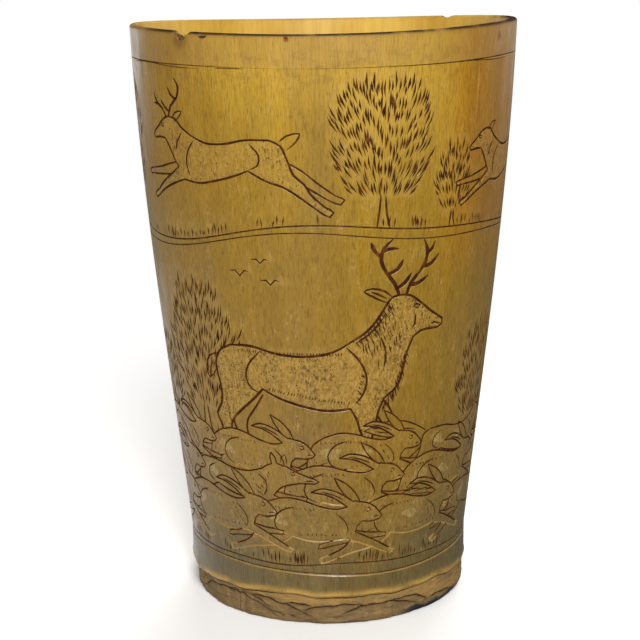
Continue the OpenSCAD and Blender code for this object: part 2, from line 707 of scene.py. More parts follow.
class Spot:
    """A place on the side, from which a motif is drawn in millimetres, facing right or left"""

    def __init__(self, degrees, z, scale=1.0, faces=1, lean=0.0):
        self.u = unrolled(degrees)
        self.z = z
        self.scale = scale
        self.faces = faces
        self.lean = math.radians(lean)

    def put(self, points):
        placed = []
        for x, y in points:
            x, y = x * self.scale, y * self.scale
            x, y = (x * math.cos(self.lean) - y * math.sin(self.lean),
                    x * math.sin(self.lean) + y * math.cos(self.lean))
            z = self.z + y
            placed.append((self.u + self.faces * x * ROLL_R / outer(max(z, FOOT_BAND_TOP)), z))
        return placed


def joined(curves):
    """The same curves, each started where the one before it ends"""
    chain = [curves[0]]
    for curve in curves[1:]:
        chain.append([chain[-1][-1]] + curve)
    return chain


def draw_figure(spot, figure, group, width):
    """A closed figure of several curves that hides what lies behind it, with its inner lines"""
    for limb in map(joined, figure["far"]):
        clear_under(spot.put([p for part in limb for p in through(part)]))
        cut_curves(spot.put, limb, width * 0.9, group, 0.7, 0.6)
    body = joined(figure["outline"])
    outline = spot.put([p for part in body for p in through(part)])
    clear_under(outline)
    for part in body:
        stained = group != "lower" or max(y for _, y in part) > PALE_BELLY
        cut(spot.put(through(part)), width, group, stained, 0.85, 0.75)
    cut_curves(spot.put, figure["inner"], width * 0.8, group)
    cut_curves(spot.put, figure.get("bold", ()), width * 1.4, group, 0.8, 0.25)
    return outline


def hatch(spot, group, start, stop, lean, length, count, width):
    """Short cuts side by side from one place to another"""
    for i in range(count):
        t = (i + hand.uniform(-0.3, 0.3)) / (count - 1)
        x = start[0] + (stop[0] - start[0]) * t
        y = start[1] + (stop[1] - start[1]) * t
        way = math.radians(lean + hand.uniform(-12, 12))
        reach = length * hand.uniform(0.75, 1.25)
        tip = (x + reach * math.cos(way), y + reach * math.sin(way))
        mid = ((x + tip[0]) / 2 + 0.06 * reach * math.sin(way), (y + tip[1]) / 2)
        cut(spot.put([(x, y), mid, tip]), width, group, start=0.2, stop=0.1)


def stipple(outline, count, group, rng, weight):
    """Pricked dots inside an outline, dense where the weight of a place is high"""
    left, right, low, high = limits(outline)
    made = 0
    while made < count:
        u = rng.uniform(left, right)
        z = rng.uniform(low, high)
        if rng.random() > weight((u - left) / (right - left), (z - low) / (high - low)):
            continue
        if not inside(outline, (u, z)):
            continue
        made += 1
        size = rng.uniform(*PRICK_SIZES)
        way = rng.uniform(0, math.pi)
        step = (size * 0.6 * math.cos(way), size * 0.6 * math.sin(way))
        cuts.append({"line": [(u - step[0], z - step[1]), (u, z), (u + step[0], z + step[1])],
                     "widths": [0.05, size, 0.05], "group": group, "stain": rng.random() < STAINED_PRICKS})


# Motifs, facing right, with the ground at zero. The curves of a limb or an outline start where the one
# before ends. Hair is rows of short cuts: from, to, lean, length, count and width.

STAG = {
    "far": [
        [[(15.2, 15.6), (17.6, 13.4), (18.7, 10.8), (18.8, 9.2), (19.3, 7.2), (19.4, 4.6),
          (19.6, 2.6), (20.5, 1.1)], [(21.3, 0.0), (18.6, 0.0), (18.2, 1.3)],
         [(17.8, 3.0), (17.5, 5.4), (17.1, 7.6), (16.3, 9.6), (14.6, 12.6)]],
        [[(-7.6, 15.6), (-9.6, 12.4), (-11.3, 9.8), (-11.5, 8.0), (-11.2, 5.6), (-11.1, 3.0),
          (-10.2, 1.1)], [(-9.6, 0.0), (-12.3, 0.0), (-12.6, 1.3)],
         [(-13.0, 3.2), (-13.4, 6.2), (-14.6, 9.2), (-13.4, 12.0), (-12.0, 15.4)]],
    ],
    "outline": [
        [(21.0, 35.9), (23.0, 35.5), (25.2, 33.9), (27.6, 31.9), (29.7, 30.5)],
        [(30.7, 29.8), (30.6, 28.7), (29.4, 28.1)], [(27.2, 28.2), (25.2, 28.0), (23.4, 26.9)],
        [(22.0, 24.0), (21.0, 20.4), (19.8, 17.2), (16.9, 14.8)],
        [(15.7, 12.2), (15.1, 9.6), (15.0, 8.4), (14.3, 7.0), (14.2, 4.6), (14.0, 2.6), (14.9, 1.0)],
        [(15.7, 0.0), (12.9, 0.0), (12.6, 1.3)],
        [(12.2, 2.8), (12.3, 5.0), (12.2, 7.2), (11.7, 8.6), (11.3, 10.4), (10.0, 13.0)],
        [(5.4, 12.7), (0.2, 13.7), (-4.4, 15.2), (-7.6, 16.8)],
        [(-9.8, 14.4), (-12.2, 12.2), (-14.4, 10.0), (-15.2, 8.6), (-15.3, 5.6), (-15.7, 3.0),
         (-14.8, 1.1)], [(-14.2, 0.0), (-17.0, 0.0), (-17.2, 1.3)],
        [(-17.6, 3.0), (-17.5, 6.0), (-18.0, 8.2), (-19.0, 10.2), (-17.6, 12.6), (-17.4, 15.6),
         (-18.2, 18.8)], [(-18.6, 21.2), (-17.4, 23.8), (-14.6, 25.4)],
        [(-10.0, 25.6), (-4.0, 24.3), (2.0, 24.0), (7.0, 25.0), (10.4, 26.9)],
        [(13.2, 28.6), (15.6, 31.0), (17.4, 33.6), (18.9, 35.5), (21.0, 35.9)],
    ],
    "inner": [
        [(19.2, 35.3), (17.4, 36.8), (14.9, 37.5), (13.2, 37.0), (14.9, 35.9), (17.2, 34.7),
         (18.7, 34.3)], [(14.6, 36.9), (16.6, 36.0), (18.0, 35.2)],
        [(29.9, 28.9), (28.6, 29.3), (27.3, 29.2)],
        [(23.4, 33.2), (24.2, 33.7), (25.1, 33.4), (24.4, 32.8), (23.4, 33.2)],
        [(24.0, 31.6), (23.8, 29.6), (22.9, 28.3)],
        [(9.4, 25.9), (12.2, 22.6), (13.4, 19.2), (12.6, 16.0), (10.6, 13.6)],
        [(16.4, 27.6), (17.4, 24.4), (16.9, 21.0)],
        [(-8.0, 24.6), (-10.6, 21.6), (-11.2, 18.8), (-9.9, 16.6), (-7.8, 15.9)],
        [(-17.9, 23.2), (-20.2, 22.4), (-21.3, 19.9), (-20.6, 17.6), (-19.2, 18.6), (-18.4, 20.2)],
        [(11.4, 26.6), (14.8, 29.0), (17.4, 32.0)],
    ],
    "bold": [
        [(20.3, 36.1), (19.4, 38.3), (17.7, 40.6), (16.7, 43.0), (17.3, 45.4), (19.2, 47.1)],
        [(19.8, 37.2), (21.6, 38.2), (23.1, 40.1)], [(18.0, 40.2), (20.1, 41.1), (21.3, 42.9)],
        [(16.8, 43.6), (15.4, 45.0), (14.7, 46.7)], [(17.1, 44.8), (18.2, 45.2), (20.4, 45.2)],
        [(22.0, 35.9), (22.9, 38.0), (24.8, 40.0), (26.4, 42.1), (26.8, 44.6), (26.0, 46.6)],
        [(22.7, 37.7), (24.7, 37.9), (27.0, 39.3)], [(25.6, 41.0), (27.8, 41.6), (29.6, 43.4)],
        [(26.7, 43.6), (28.0, 44.6), (28.7, 46.0)],
    ],
    "hair": [
        ((12.8, 28.0), (18.6, 34.6), -62, 2.0, 14, 0.26), ((-19.6, 21.6), (-20.6, 19.0), -80, 1.6, 6, 0.3),
        ((11.4, 27.2), (18.2, 35.0), -66, 2.4, 13, 0.27), ((12.6, 26.0), (18.6, 33.0), -72, 2.4, 11, 0.27),
        ((14.4, 25.2), (19.4, 31.4), -78, 2.4, 9, 0.27), ((16.2, 23.6), (20.4, 28.6), -84, 2.4, 7, 0.27),
        ((-12.6, 25.0), (8.6, 24.9), -76, 1.0, 34, 0.24), ((-6.4, 16.4), (9.4, 13.6), 74, 1.1, 26, 0.24),
        ((-16.8, 14.6), (-15.6, 9.4), -52, 1.4, 9, 0.26), ((12.2, 20.6), (11.0, 14.8), -40, 1.5, 9, 0.26),
    ],
}

LEAPING_DEER = {
    "far": [
        [[(12.0, 9.0), (15.0, 8.3), (18.6, 7.4), (21.8, 6.9)], [(24.3, 6.3), (23.6, 5.5), (22.1, 5.7)],
         [(18.8, 5.9), (15.2, 6.2), (11.8, 6.2)]],
        [[(-8.0, 8.6), (-12.8, 7.2), (-17.0, 5.0), (-20.4, 2.9)],
         [(-22.9, 1.9), (-23.7, 2.8), (-22.0, 3.6)], [(-19.0, 5.8), (-15.8, 8.4), (-12.0, 10.6)]],
    ],
    "outline": [
        [(14.4, 17.9), (16.2, 17.3), (18.2, 15.7), (19.9, 14.6)], [(20.5, 13.9), (19.9, 13.2)],
        [(17.8, 13.5), (15.9, 13.4)], [(14.2, 11.2), (13.1, 9.4), (11.9, 8.0)],
        [(14.4, 6.4), (17.6, 4.6), (20.4, 2.6)], [(22.5, 1.6), (21.8, 0.8), (20.3, 1.5)],
        [(17.6, 3.0), (14.2, 4.4), (10.4, 5.6)], [(6.2, 5.2), (1.8, 6.0), (-2.6, 7.2), (-5.2, 8.2)],
        [(-8.6, 6.4), (-12.2, 5.2), (-14.8, 3.6), (-18.4, 0.9)],
        [(-20.7, -0.5), (-21.5, 0.4), (-19.8, 1.5)],
        [(-17.4, 3.8), (-16.2, 5.8), (-14.2, 7.6), (-13.4, 9.8), (-12.8, 11.4)],
        [(-12.0, 13.2), (-9.8, 14.3)], [(-5.0, 14.2), (0.0, 13.2), (4.2, 13.2), (7.8, 14.5)],
        [(10.4, 16.0), (12.2, 17.6), (14.4, 17.9)],
    ],
    "inner": [
        [(13.2, 17.5), (11.9, 18.9), (10.0, 19.2), (11.2, 17.7), (12.6, 16.8)],
        [(-11.6, 13.8), (-13.2, 15.2), (-15.8, 15.7), (-15.0, 14.0), (-12.9, 12.2)],
        [(16.0, 16.2), (16.7, 16.4), (17.1, 15.9), (16.4, 15.7), (16.0, 16.2)],
        [(7.0, 13.6), (9.0, 11.0), (9.4, 8.4), (8.4, 6.2)],
        [(-5.6, 13.6), (-7.6, 11.2), (-7.2, 9.2), (-5.2, 8.4)], [(19.9, 13.8), (18.8, 14.0)],
        [(10.0, 15.2), (11.8, 13.0), (12.6, 10.8)],
    ],
}

ANTLERS = [
    [(14.2, 18.0), (13.2, 20.2), (11.2, 22.0), (10.6, 24.2), (11.8, 26.0)],
    [(13.8, 18.9), (15.4, 19.8), (16.6, 21.2)],
    [(11.6, 21.6), (13.2, 22.6), (14.0, 24.0)],
    [(15.1, 17.8), (16.2, 19.4), (18.2, 20.6), (19.2, 22.6)],
    [(17.4, 20.2), (19.4, 20.4)],
]

HARE = {
    "far": [
        [[(8.8, 5.8), (11.8, 5.0), (14.8, 4.6)], [(16.2, 4.3), (15.8, 3.6), (14.8, 3.6)],
         [(11.4, 3.6), (8.2, 3.8)]],
        [[(-5.4, 5.2), (-8.6, 4.4), (-11.8, 3.4), (-14.6, 3.0)],
         [(-17.2, 2.5), (-17.0, 3.4), (-15.2, 3.9)], [(-12.2, 4.9), (-10.0, 6.4), (-8.4, 7.6)]],
        [[(10.9, 11.6), (10.0, 13.6), (8.2, 15.6), (6.0, 16.9)],
         [(6.9, 14.8), (8.3, 12.8), (9.8, 11.2)]],
    ],
    "outline": [
        [(10.6, 11.6), (12.2, 11.3), (13.8, 10.3), (14.8, 9.0)], [(15.3, 8.2), (14.7, 7.5)],
        [(12.9, 7.2), (11.2, 7.4)], [(10.2, 6.4), (9.8, 5.2)], [(12.2, 3.9), (14.6, 2.4), (16.6, 1.0)],
        [(17.7, 0.4), (17.0, -0.2), (15.8, 0.2)], [(12.8, 1.8), (10.2, 3.0), (7.6, 3.8)],
        [(3.8, 3.4), (0.2, 3.6), (-2.6, 4.4)], [(-4.6, 2.6), (-7.4, 1.9), (-10.6, 1.3), (-13.8, 0.2)],
        [(-16.6, -0.6), (-17.0, 0.3), (-15.2, 1.0)],
        [(-12.4, 2.4), (-11.0, 4.0), (-10.6, 6.0), (-10.2, 7.6)], [(-9.4, 9.8), (-7.0, 11.6)],
        [(-3.8, 12.5), (-0.4, 12.1), (3.2, 10.8), (6.4, 10.2), (8.4, 10.6)],
        [(6.4, 12.2), (4.0, 13.4), (1.4, 13.8)], [(3.4, 14.6), (6.6, 13.8), (9.6, 11.7)],
        [(10.1, 11.8), (10.6, 11.6)],
    ],
    "inner": [
        [(-9.9, 8.9), (-11.4, 10.6), (-12.6, 10.0), (-11.8, 8.7), (-10.4, 8.0)],
        [(-1.6, 10.8), (-4.8, 9.6), (-6.2, 7.4), (-5.4, 5.2), (-3.2, 4.2)],
        [(-6.0, 6.0), (-8.4, 5.0), (-10.4, 3.4)], [(6.0, 9.4), (7.8, 7.6), (8.4, 5.6), (7.8, 4.2)],
        [(12.0, 10.0), (12.7, 10.2), (13.0, 9.6), (12.4, 9.3), (12.0, 10.0)],
        [(15.0, 8.1), (14.0, 8.2), (13.4, 7.9)], [(3.2, 14.0), (5.8, 13.2), (8.0, 12.0)],
    ],
    "hair": [
        ((-7.6, 10.8), (1.8, 10.6), -58, 0.9, 12, 0.22), ((-9.2, 7.2), (-6.6, 3.0), -70, 0.9, 6, 0.22),
        ((-1.0, 4.4), (5.8, 4.4), 60, 0.8, 8, 0.22),
    ],
}

FOX = {
    "far": [
        [[(9.0, 6.4), (12.4, 5.8), (15.6, 5.4)], [(17.4, 5.2), (17.0, 4.4), (15.6, 4.4)],
         [(12.2, 4.2), (8.6, 4.2)]],
        [[(-6.0, 5.6), (-9.8, 4.4), (-13.6, 2.8)], [(-15.6, 2.4), (-15.3, 3.4), (-14.0, 3.8)],
         [(-11.2, 5.8), (-9.4, 7.6)]],
        [[(-9.6, 10.4), (-12.4, 12.0), (-16.0, 13.3), (-20.4, 13.3), (-24.6, 11.6)],
         [(-21.0, 10.3), (-17.0, 9.6), (-13.4, 9.2), (-10.4, 8.6)]],
    ],
    "outline": [
        [(11.3, 12.4), (12.6, 12.0), (13.4, 11.9)], [(15.2, 10.9), (17.2, 10.1), (19.2, 9.4)],
        [(19.9, 8.9), (19.1, 8.4)], [(16.4, 8.4), (14.4, 8.0), (12.4, 7.4)], [(11.0, 6.2), (10.2, 5.2)],
        [(12.8, 4.0), (15.4, 2.3), (17.4, 0.9)], [(18.7, 0.3), (18.0, -0.4), (16.6, 0.1)],
        [(13.8, 1.7), (10.8, 3.0), (7.8, 3.8)], [(3.4, 3.6), (-0.8, 4.2), (-4.0, 5.2)],
        [(-6.6, 3.8), (-9.8, 2.2), (-13.0, 0.3)], [(-14.8, -0.6), (-15.4, 0.3), (-14.0, 1.1)],
        [(-12.0, 3.0), (-10.6, 5.2), (-10.2, 7.6)], [(-9.8, 9.4), (-8.0, 10.4)],
        [(-3.6, 10.5), (0.6, 9.7), (4.6, 9.8), (7.8, 10.8)], [(9.2, 11.8), (10.2, 12.2)],
        [(9.9, 13.6), (10.1, 14.7)], [(11.0, 13.8), (11.3, 12.4)],
    ],
    "inner": [
        [(12.0, 12.3), (12.4, 13.8), (13.1, 14.6), (13.5, 13.3), (13.4, 12.0)],
        [(14.0, 10.6), (14.8, 10.7), (15.1, 10.2), (14.4, 10.1), (14.0, 10.6)],
        [(19.3, 9.0), (18.0, 9.0), (16.8, 8.9)], [(-4.2, 9.6), (-6.6, 8.2), (-6.6, 6.2), (-4.6, 5.2)],
        [(6.8, 9.6), (8.6, 8.0), (8.6, 6.0), (7.6, 4.4)],
    ],
    "hair": [
        ((-12.0, 11.0), (-21.6, 12.2), 176, 2.2, 16, 0.28),
        ((-12.6, 9.9), (-20.6, 11.2), 178, 1.8, 12, 0.24), ((9.4, 10.6), (6.6, 6.0), -62, 1.2, 7, 0.24),
    ],
}

PHEASANT = {
    "far": [
        [[(2.6, 1.4), (4.0, 4.0), (5.0, 6.6), (4.8, 8.8)], [(2.6, 6.8), (0.8, 4.0), (0.2, 1.6)]],
    ],
    "outline": [
        [(9.4, 1.5), (8.3, 2.2), (7.0, 2.5), (5.6, 1.9)], [(2.6, 1.8), (-1.0, 1.4), (-4.0, 0.9)],
        [(-9.0, 1.2), (-13.6, 0.6), (-17.4, -0.8)], [(-13.4, -0.6), (-9.0, -0.5), (-4.4, -1.0)],
        [(-1.2, -2.0), (2.4, -1.9), (5.2, -0.7), (7.4, 0.9), (9.4, 1.5)],
    ],
    "inner": [
        [(1.8, 1.2), (0.4, 4.0), (-2.2, 6.8), (-5.4, 8.4)],
        [(-5.4, 8.4), (-4.6, 7.0), (-5.2, 6.2), (-4.0, 5.4), (-4.4, 4.4), (-3.2, 3.7), (-3.4, 2.7),
         (-2.2, 1.4)], [(-3.8, 6.9), (-1.6, 4.8), (0.0, 2.6)], [(-2.8, 5.3), (-1.4, 3.8), (-0.6, 2.4)],
        [(6.2, 2.2), (6.0, 1.2), (6.6, 0.3)], [(7.4, 1.9), (7.7, 1.9)],
    ],
}

FAR_BIRD = [(-2.2, 0.9), (-1.0, 1.0), (0, 0), (1.1, 1.1), (2.4, 0.8)]

TUFT_GAP = 0.45
TUFTS_PER_AREA = 8
TREE_TOP = 113.2
RIM_LINE_Z = 115.7
CRACK_STEP = 0.8
SHORTEST_CRACK = 5
TURNED_RIPPLE = ((3, 0.06), (8, 0.03))
SAG = 1.4
SAG_AT = 22
SAG_REACH = 40
POST_GAP = 13
RAIL_STEP = 4
RAIL_HEIGHTS = (0.34, 0.7)
RAIL_EDGES = (0.0, 0.75)
THATCH_COLUMNS = 33
THATCH_ROWS = ((8.3, 10.4), (10.8, 12.9), (13.2, 15.0))
PATCH_CORNERS = 18
PATCH_SEAM_GAP = 2

# The cottage's door and two windows: left edge, low edge, width and height
OPENINGS = ((-2, 0, 3.6, 5.6), (-7, 2.8, 3, 2.8), (4, 2.8, 3, 2.8))


def feather_tree(degrees, z, tall, wide, group, seed):
    """A tree of long upswept cuts round a trunk, none of them over another"""
    dice = random.Random(seed)
    put = Spot(degrees, z).put
    fork = tall * 0.2
    trunk = tall * 0.028
    left = [(-trunk * 1.5, 0), (-trunk, fork * 0.5), (-trunk * 0.6, fork * 1.15)]
    right = [(trunk * 1.8, 0), (trunk * 0.9, fork * 0.5), (trunk * 0.5, fork * 1.15)]
    cut_curves(put, (left, right), 0.40, group)
    for _ in range(5):
        x = dice.uniform(-trunk, trunk)
        y = dice.uniform(0.3, fork * 0.8)
        cut(put([(x, y), (x * 0.9, y + 1.3)]), 0.22, group)
    crown = tall - fork
    taken = set()
    for _ in range(round(TUFTS_PER_AREA * crown * wide)):
        share = dice.uniform(0.0, 0.9)
        lobe = 1 + 0.13 * math.sin(8.5 * share + seed) + 0.06 * math.sin(21 * share + 2 * seed)
        half = wide / 2 * lobe * math.sin(math.pi * (0.11 + 0.84 * share)) ** 0.7
        x = half * dice.uniform(-1, 1)
        y = fork + crown * share
        way = math.atan2(crown * (share + 0.3), 1.15 * x) + dice.uniform(-0.09, 0.09)
        reach = dice.uniform(2.1, 4.6) * min(1.0, 0.5 + tall / 50)
        bend = math.copysign(0.10, x)
        mid = (x + reach * 0.5 * math.cos(way - bend), y + reach * 0.5 * math.sin(way - bend))
        tip = (mid[0] + reach * 0.5 * math.cos(way + bend), mid[1] + reach * 0.5 * math.sin(way + bend))
        cells = set()
        for (x0, y0), (x1, y1) in (((x, y), mid), (mid, tip)):
            for t in (0.0, 0.3, 0.6, 0.9):
                cells.add((round((x0 + (x1 - x0) * t) / TUFT_GAP), round((y0 + (y1 - y0) * t) / TUFT_GAP)))
        if cells & taken:
            continue
        taken |= cells
        dense = max(0.0, math.sin(0.8 * x + seed) * math.sin(0.55 * y + 2 * seed))
        cut(put([(x, y), mid, tip]), dice.uniform(0.32, 0.43) + 0.16 * dense, group, start=0.15, stop=0.12)


def plant(level, group, trees):
    """Trees on a ground line, from angle, height, width and seed. One with no height ends at TREE_TOP."""
    for degrees, tall, wide, seed in trees:
        base = level(unrolled(degrees))
        feather_tree(degrees, base, tall or TREE_TOP - base, wide, group, seed)


def ground(level, group, width, stain=True):
    """A line all the way round"""
    line = [(u, level(u)) for u in even(-GIRTH / 2, GIRTH / 2, GROUND_STEPS)]
    ring = {"line": line, "widths": tapered(len(line), width, 1.0, 1.0), "group": group,
            "stain": stain, "ring": True}
    close_ring(ring)
    cuts.append(ring)
    return ring


def close_ring(ring):
    ring["widths"][-1] = ring["widths"][0]


def grass(level, group, seed, tufts, tall):
    dice = random.Random(seed)
    for _ in range(tufts):
        u = dice.uniform(-GIRTH / 2 + 3, GIRTH / 2 - 3)
        for k in range(dice.choice((1, 1, 2, 2, 3, 4))):
            foot = u + 0.9 * k + dice.uniform(-0.2, 0.2)
            base = level(foot) + dice.uniform(-0.2, 0.4)
            high = tall * dice.uniform(0.5, 1.15)
            lean = dice.uniform(-0.35, 0.45)
            cut([(foot, base), (foot + lean * 0.3, base + high * 0.55), (foot + lean, base + high)],
                dice.uniform(0.26, 0.38), group, start=0.2, stop=0.1)


def high_ground(u):
    return 82.6 + wave(u, 0.9, (2, 1.5), (3, 0.9), (5, 0.5))


def low_bank(u):
    return 36.5 + wave(u, 2.3, (2, 1.6), (3, 1.0), (7, 0.4))


def border_ground(u):
    return 13.5 + wave(u, 0.4, (5, 0.22), (9, 0.14))


def sagging_line(u):
    """The hand-turned line over the smooth band, which hangs lower in front"""
    gap = round_gap(u, unrolled(SAG_AT)) / unrolled(SAG_REACH)
    return FOOT_BAND_TOP - SAG * math.exp(-gap * gap) + wave(u, 0.7, *TURNED_RIPPLE)


def paling(start, stop, level, group, seed, tall=9.0):
    """A run of split rails between posts"""
    dice = random.Random(seed)
    for degrees in even(start, stop, max(1, round((stop - start) / POST_GAP))):
        u = unrolled(degrees)
        base = level(u) - 0.3
        lean = dice.uniform(-0.3, 0.3)
        post = [(u - 0.7, base), (u - 0.6 + lean, base + tall), (u + 0.1 + lean, base + tall + 0.7),
                (u + 0.7 + lean, base + tall - 0.1), (u + 0.8, base)]
        clear_under(post)
        cut_curves(list, sides(post), 0.34, group, 0.8, 0.7)
        cut([(u + 0.1, base + 1.4), (u + 0.2 + lean * 0.5, base + tall * 0.6)], 0.2, group)
    for share in RAIL_HEIGHTS:
        for shift in RAIL_EDGES:
            line = []
            for degrees in even(start, stop, max(3, round((stop - start) / RAIL_STEP))):
                u = unrolled(degrees)
                line.append((u, level(u) + tall * share + shift + 0.12 * math.sin(u * 0.9 + share * 9)))
            cut(through(line), 0.26, group)


def cottage(spot, group):
    """Walls, a thatched roof, a door, two windows, and a chimney with its smoke"""
    walls = [(-9, 0), (-9, 8), (9, 8), (9, 0)]
    roof = [(-10.6, 7.6), (-7.4, 15.2), (7.2, 15.6), (10.4, 7.8), (-10.6, 7.6)]
    clear_under(spot.put(walls))
    clear_under(spot.put(roof[:-1]))
    cut_curves(spot.put, sides(walls) + sides(roof), 0.36, group, 0.8, 0.7)
    for x in even(-9.4, 9.2, THATCH_COLUMNS):
        top = 15.0 if abs(x) < 7 else 15.2 - 2.4 * (abs(x) - 7)
        for low, high in THATCH_ROWS:
            if high < top and hand.random() < 0.8:
                cut(spot.put([(x, low + hand.uniform(0, 0.5)), (x * 0.97, high)]), 0.24, group)
    for left, low, wide, high in OPENINGS:
        right, top = left + wide, low + high
        opening = [(left, low), (left, top), (right, top), (right, low), (left, low)]
        cut_curves(spot.put, sides(opening), 0.28, group)
        cut(spot.put([(left + wide / 2, low), (left + wide / 2, top)]), 0.22, group)
    chimney = [[(4.2, 15.5), (4.2, 18.4)], [(6.4, 15.5), (6.4, 18.4)], [(3.9, 18.4), (6.7, 18.4)]]
    cut_curves(spot.put, chimney, 0.32, group)
    smoke = [(5.3, 19.0), (6.4, 20.6), (5.2, 22.4), (7.0, 24.4), (9.6, 25.6)]
    cut_curves(spot.put, [smoke], 0.24, group)


def scrape(spot, x, y, wide, high, rng):
    """Marks a small lumpy place as scraped pale"""
    skew = rng.uniform(-0.4, 0.4)
    rim = []
    for a in even(0, 2 * math.pi, PATCH_CORNERS)[:-1]:
        lump = 1 + 0.14 * math.sin(3 * a + 9 * skew) + rng.uniform(-0.06, 0.06)
        across, up = wide * 0.5 * math.cos(a) * lump, high * 0.5 * math.sin(a) * lump
        rim.append((x + across, y + up + across * skew))
    outline = spot.put(rim)
    left, right, *_ = limits(outline)
    if max(-left, right) <= GIRTH / 2 - PATCH_SEAM_GAP:
        patches.append((outline, 1.0))


def draw_upper():
    ground(high_ground, "upper", 0.3)
    ground(lambda u: high_ground(u) - 1.5 - wave(u, 0.2, (3, 0.5)), "upper", 0.24)
    grass(high_ground, "upper", 21, 58, 2.4)
    plant(high_ground, "upper", (
        (17, None, 19, 1), (-86, None, 19, 2), (113, None, 20, 3), (167, None, 17, 4), (-166, None, 17, 9),
        (41, 16, 8, 6), (140, 14, 11, 7), (-104, 15, 11, 8)))
    for degrees, z, scale, antlers in ((-30, 87.0, 1.0, ANTLERS), (73, 86.2, 0.86, ()),
                                       (-132, 86.4, 0.98, ANTLERS)):
        spot = Spot(degrees, z, scale, faces=-1)
        outline = draw_figure(spot, LEAPING_DEER, "upper", 0.44)
        cut_curves(spot.put, antlers, 0.55, "upper", 0.9, 0.3)
        coats.append((outline, 0.7))
        stipple(outline, 110, "upper", random.Random(abs(degrees)), lambda x, y: 0.35 + 0.65 * (1 - y))
    for degrees, z, lean in ((132, 103, -12), (146, 108, -18), (152, 98, -6)):
        draw_figure(Spot(degrees, z, 0.62, faces=-1, lean=lean), PHEASANT, "upper", 0.32)


def draw_middle():
    ground(low_bank, "middle", 0.3)
    ground(lambda u: low_bank(u) - 1.7 - wave(u, 1.2, (4, 0.4)), "middle", 0.24)
    grass(low_bank, "middle", 31, 50, 3.0)
    plant(low_bank, "middle", (
        (-47, 34, 19, 17), (-76, 22, 15, 12), (66, 25, 16, 13), (-96, 17, 13, 14), (160, 33, 19, 15),
        (-124, 31, 15, 16)))
    paling(76, 108, low_bank, "middle", 41)
    paling(-118, -98, low_bank, "middle", 42)
    cottage(Spot(-156, 39.5, 1.25), "middle")
    doe = draw_figure(Spot(124, 36.0, 0.8, faces=-1), {**STAG, "bold": []}, "middle", 0.38)
    coats.append((doe, 0.8))
    stipple(doe, 150, "middle", random.Random(77), lambda x, y: 0.3 + 0.7 * (1 - y))
    spot = Spot(-9, 34.6)
    stag = draw_figure(spot, STAG, "middle", 0.54)
    coats.append((stag, 1.0))
    # The long hair under the neck, then the body's, then the hair over the hooves
    for x, y, lean in ((21.6, 24.4, -70), (20.8, 21.4, -78), (19.9, 18.4, -86), (18.2, 16.0, -96)):
        hatch(spot, "middle", (x, y), (x - 1.4, y - 2.4), lean, 2.2, 7, 0.34)
    for row in STAG["hair"]:
        hatch(spot, "middle", *row)
    for x in (13.6, -16.3, 19.4, -11.6):
        hatch(spot, "middle", (x - 0.8, 1.2), (x + 1.0, 1.2), -90, 0.9, 5, 0.3)
    for place in ((-27, 74.5, 1.0), (-20, 77.2, 0.8), (-17, 73.0, 0.9), (85, 71, 1.0), (90, 74, 0.8)):
        cut_curves(Spot(*place).put, [FAR_BIRD], 0.36, "middle")
    stipple(stag, 850, "middle", random.Random(78),
            lambda x, y: 0.12 + 0.88 * (abs(2 * x - 1) ** 1.6) * 0.8 + 0.3 * (1 - y) ** 2)


def draw_beast(spot, figure, rng):
    outline = draw_figure(spot, figure, "lower", 0.38)
    for row in figure["hair"]:
        hatch(spot, "lower", *row)
    if rng.random() < 0.6:
        hatch(spot, "lower", (5.2, 9.4), (7.6, 5.2), -74, 1.1, 6, 0.22)
    coats.append((outline, 0.3))


def draw_lower():
    ground(border_ground, "lower", 0.26)
    grass(border_ground, "lower", 51, 76, 3.2)
    rng = random.Random(9)
    for row, (base, shift, size) in enumerate(((30.6, 6.0, 0.94), (23.1, 22.0, 0.98), (15.7, 40.0, 1.04))):
        for k in range(9):
            degrees = 176 - 40 * k - shift * 0.6 + rng.uniform(-3, 3)
            degrees = (degrees + 180) % 360 - 180
            figure = FOX if (2 * k + row) % 5 == 1 else HARE
            spot = Spot(degrees, base + rng.uniform(-0.4, 0.9), size, lean=rng.uniform(-3, 4))
            draw_beast(spot, figure, rng)
            for chance, *place in ((0.75, -5.6, 8.0, 4.2, 2.6), (0.6, 1.6, 7.6, 3.4, 2.0)):
                if rng.random() < chance:
                    scrape(spot, *place, rng)


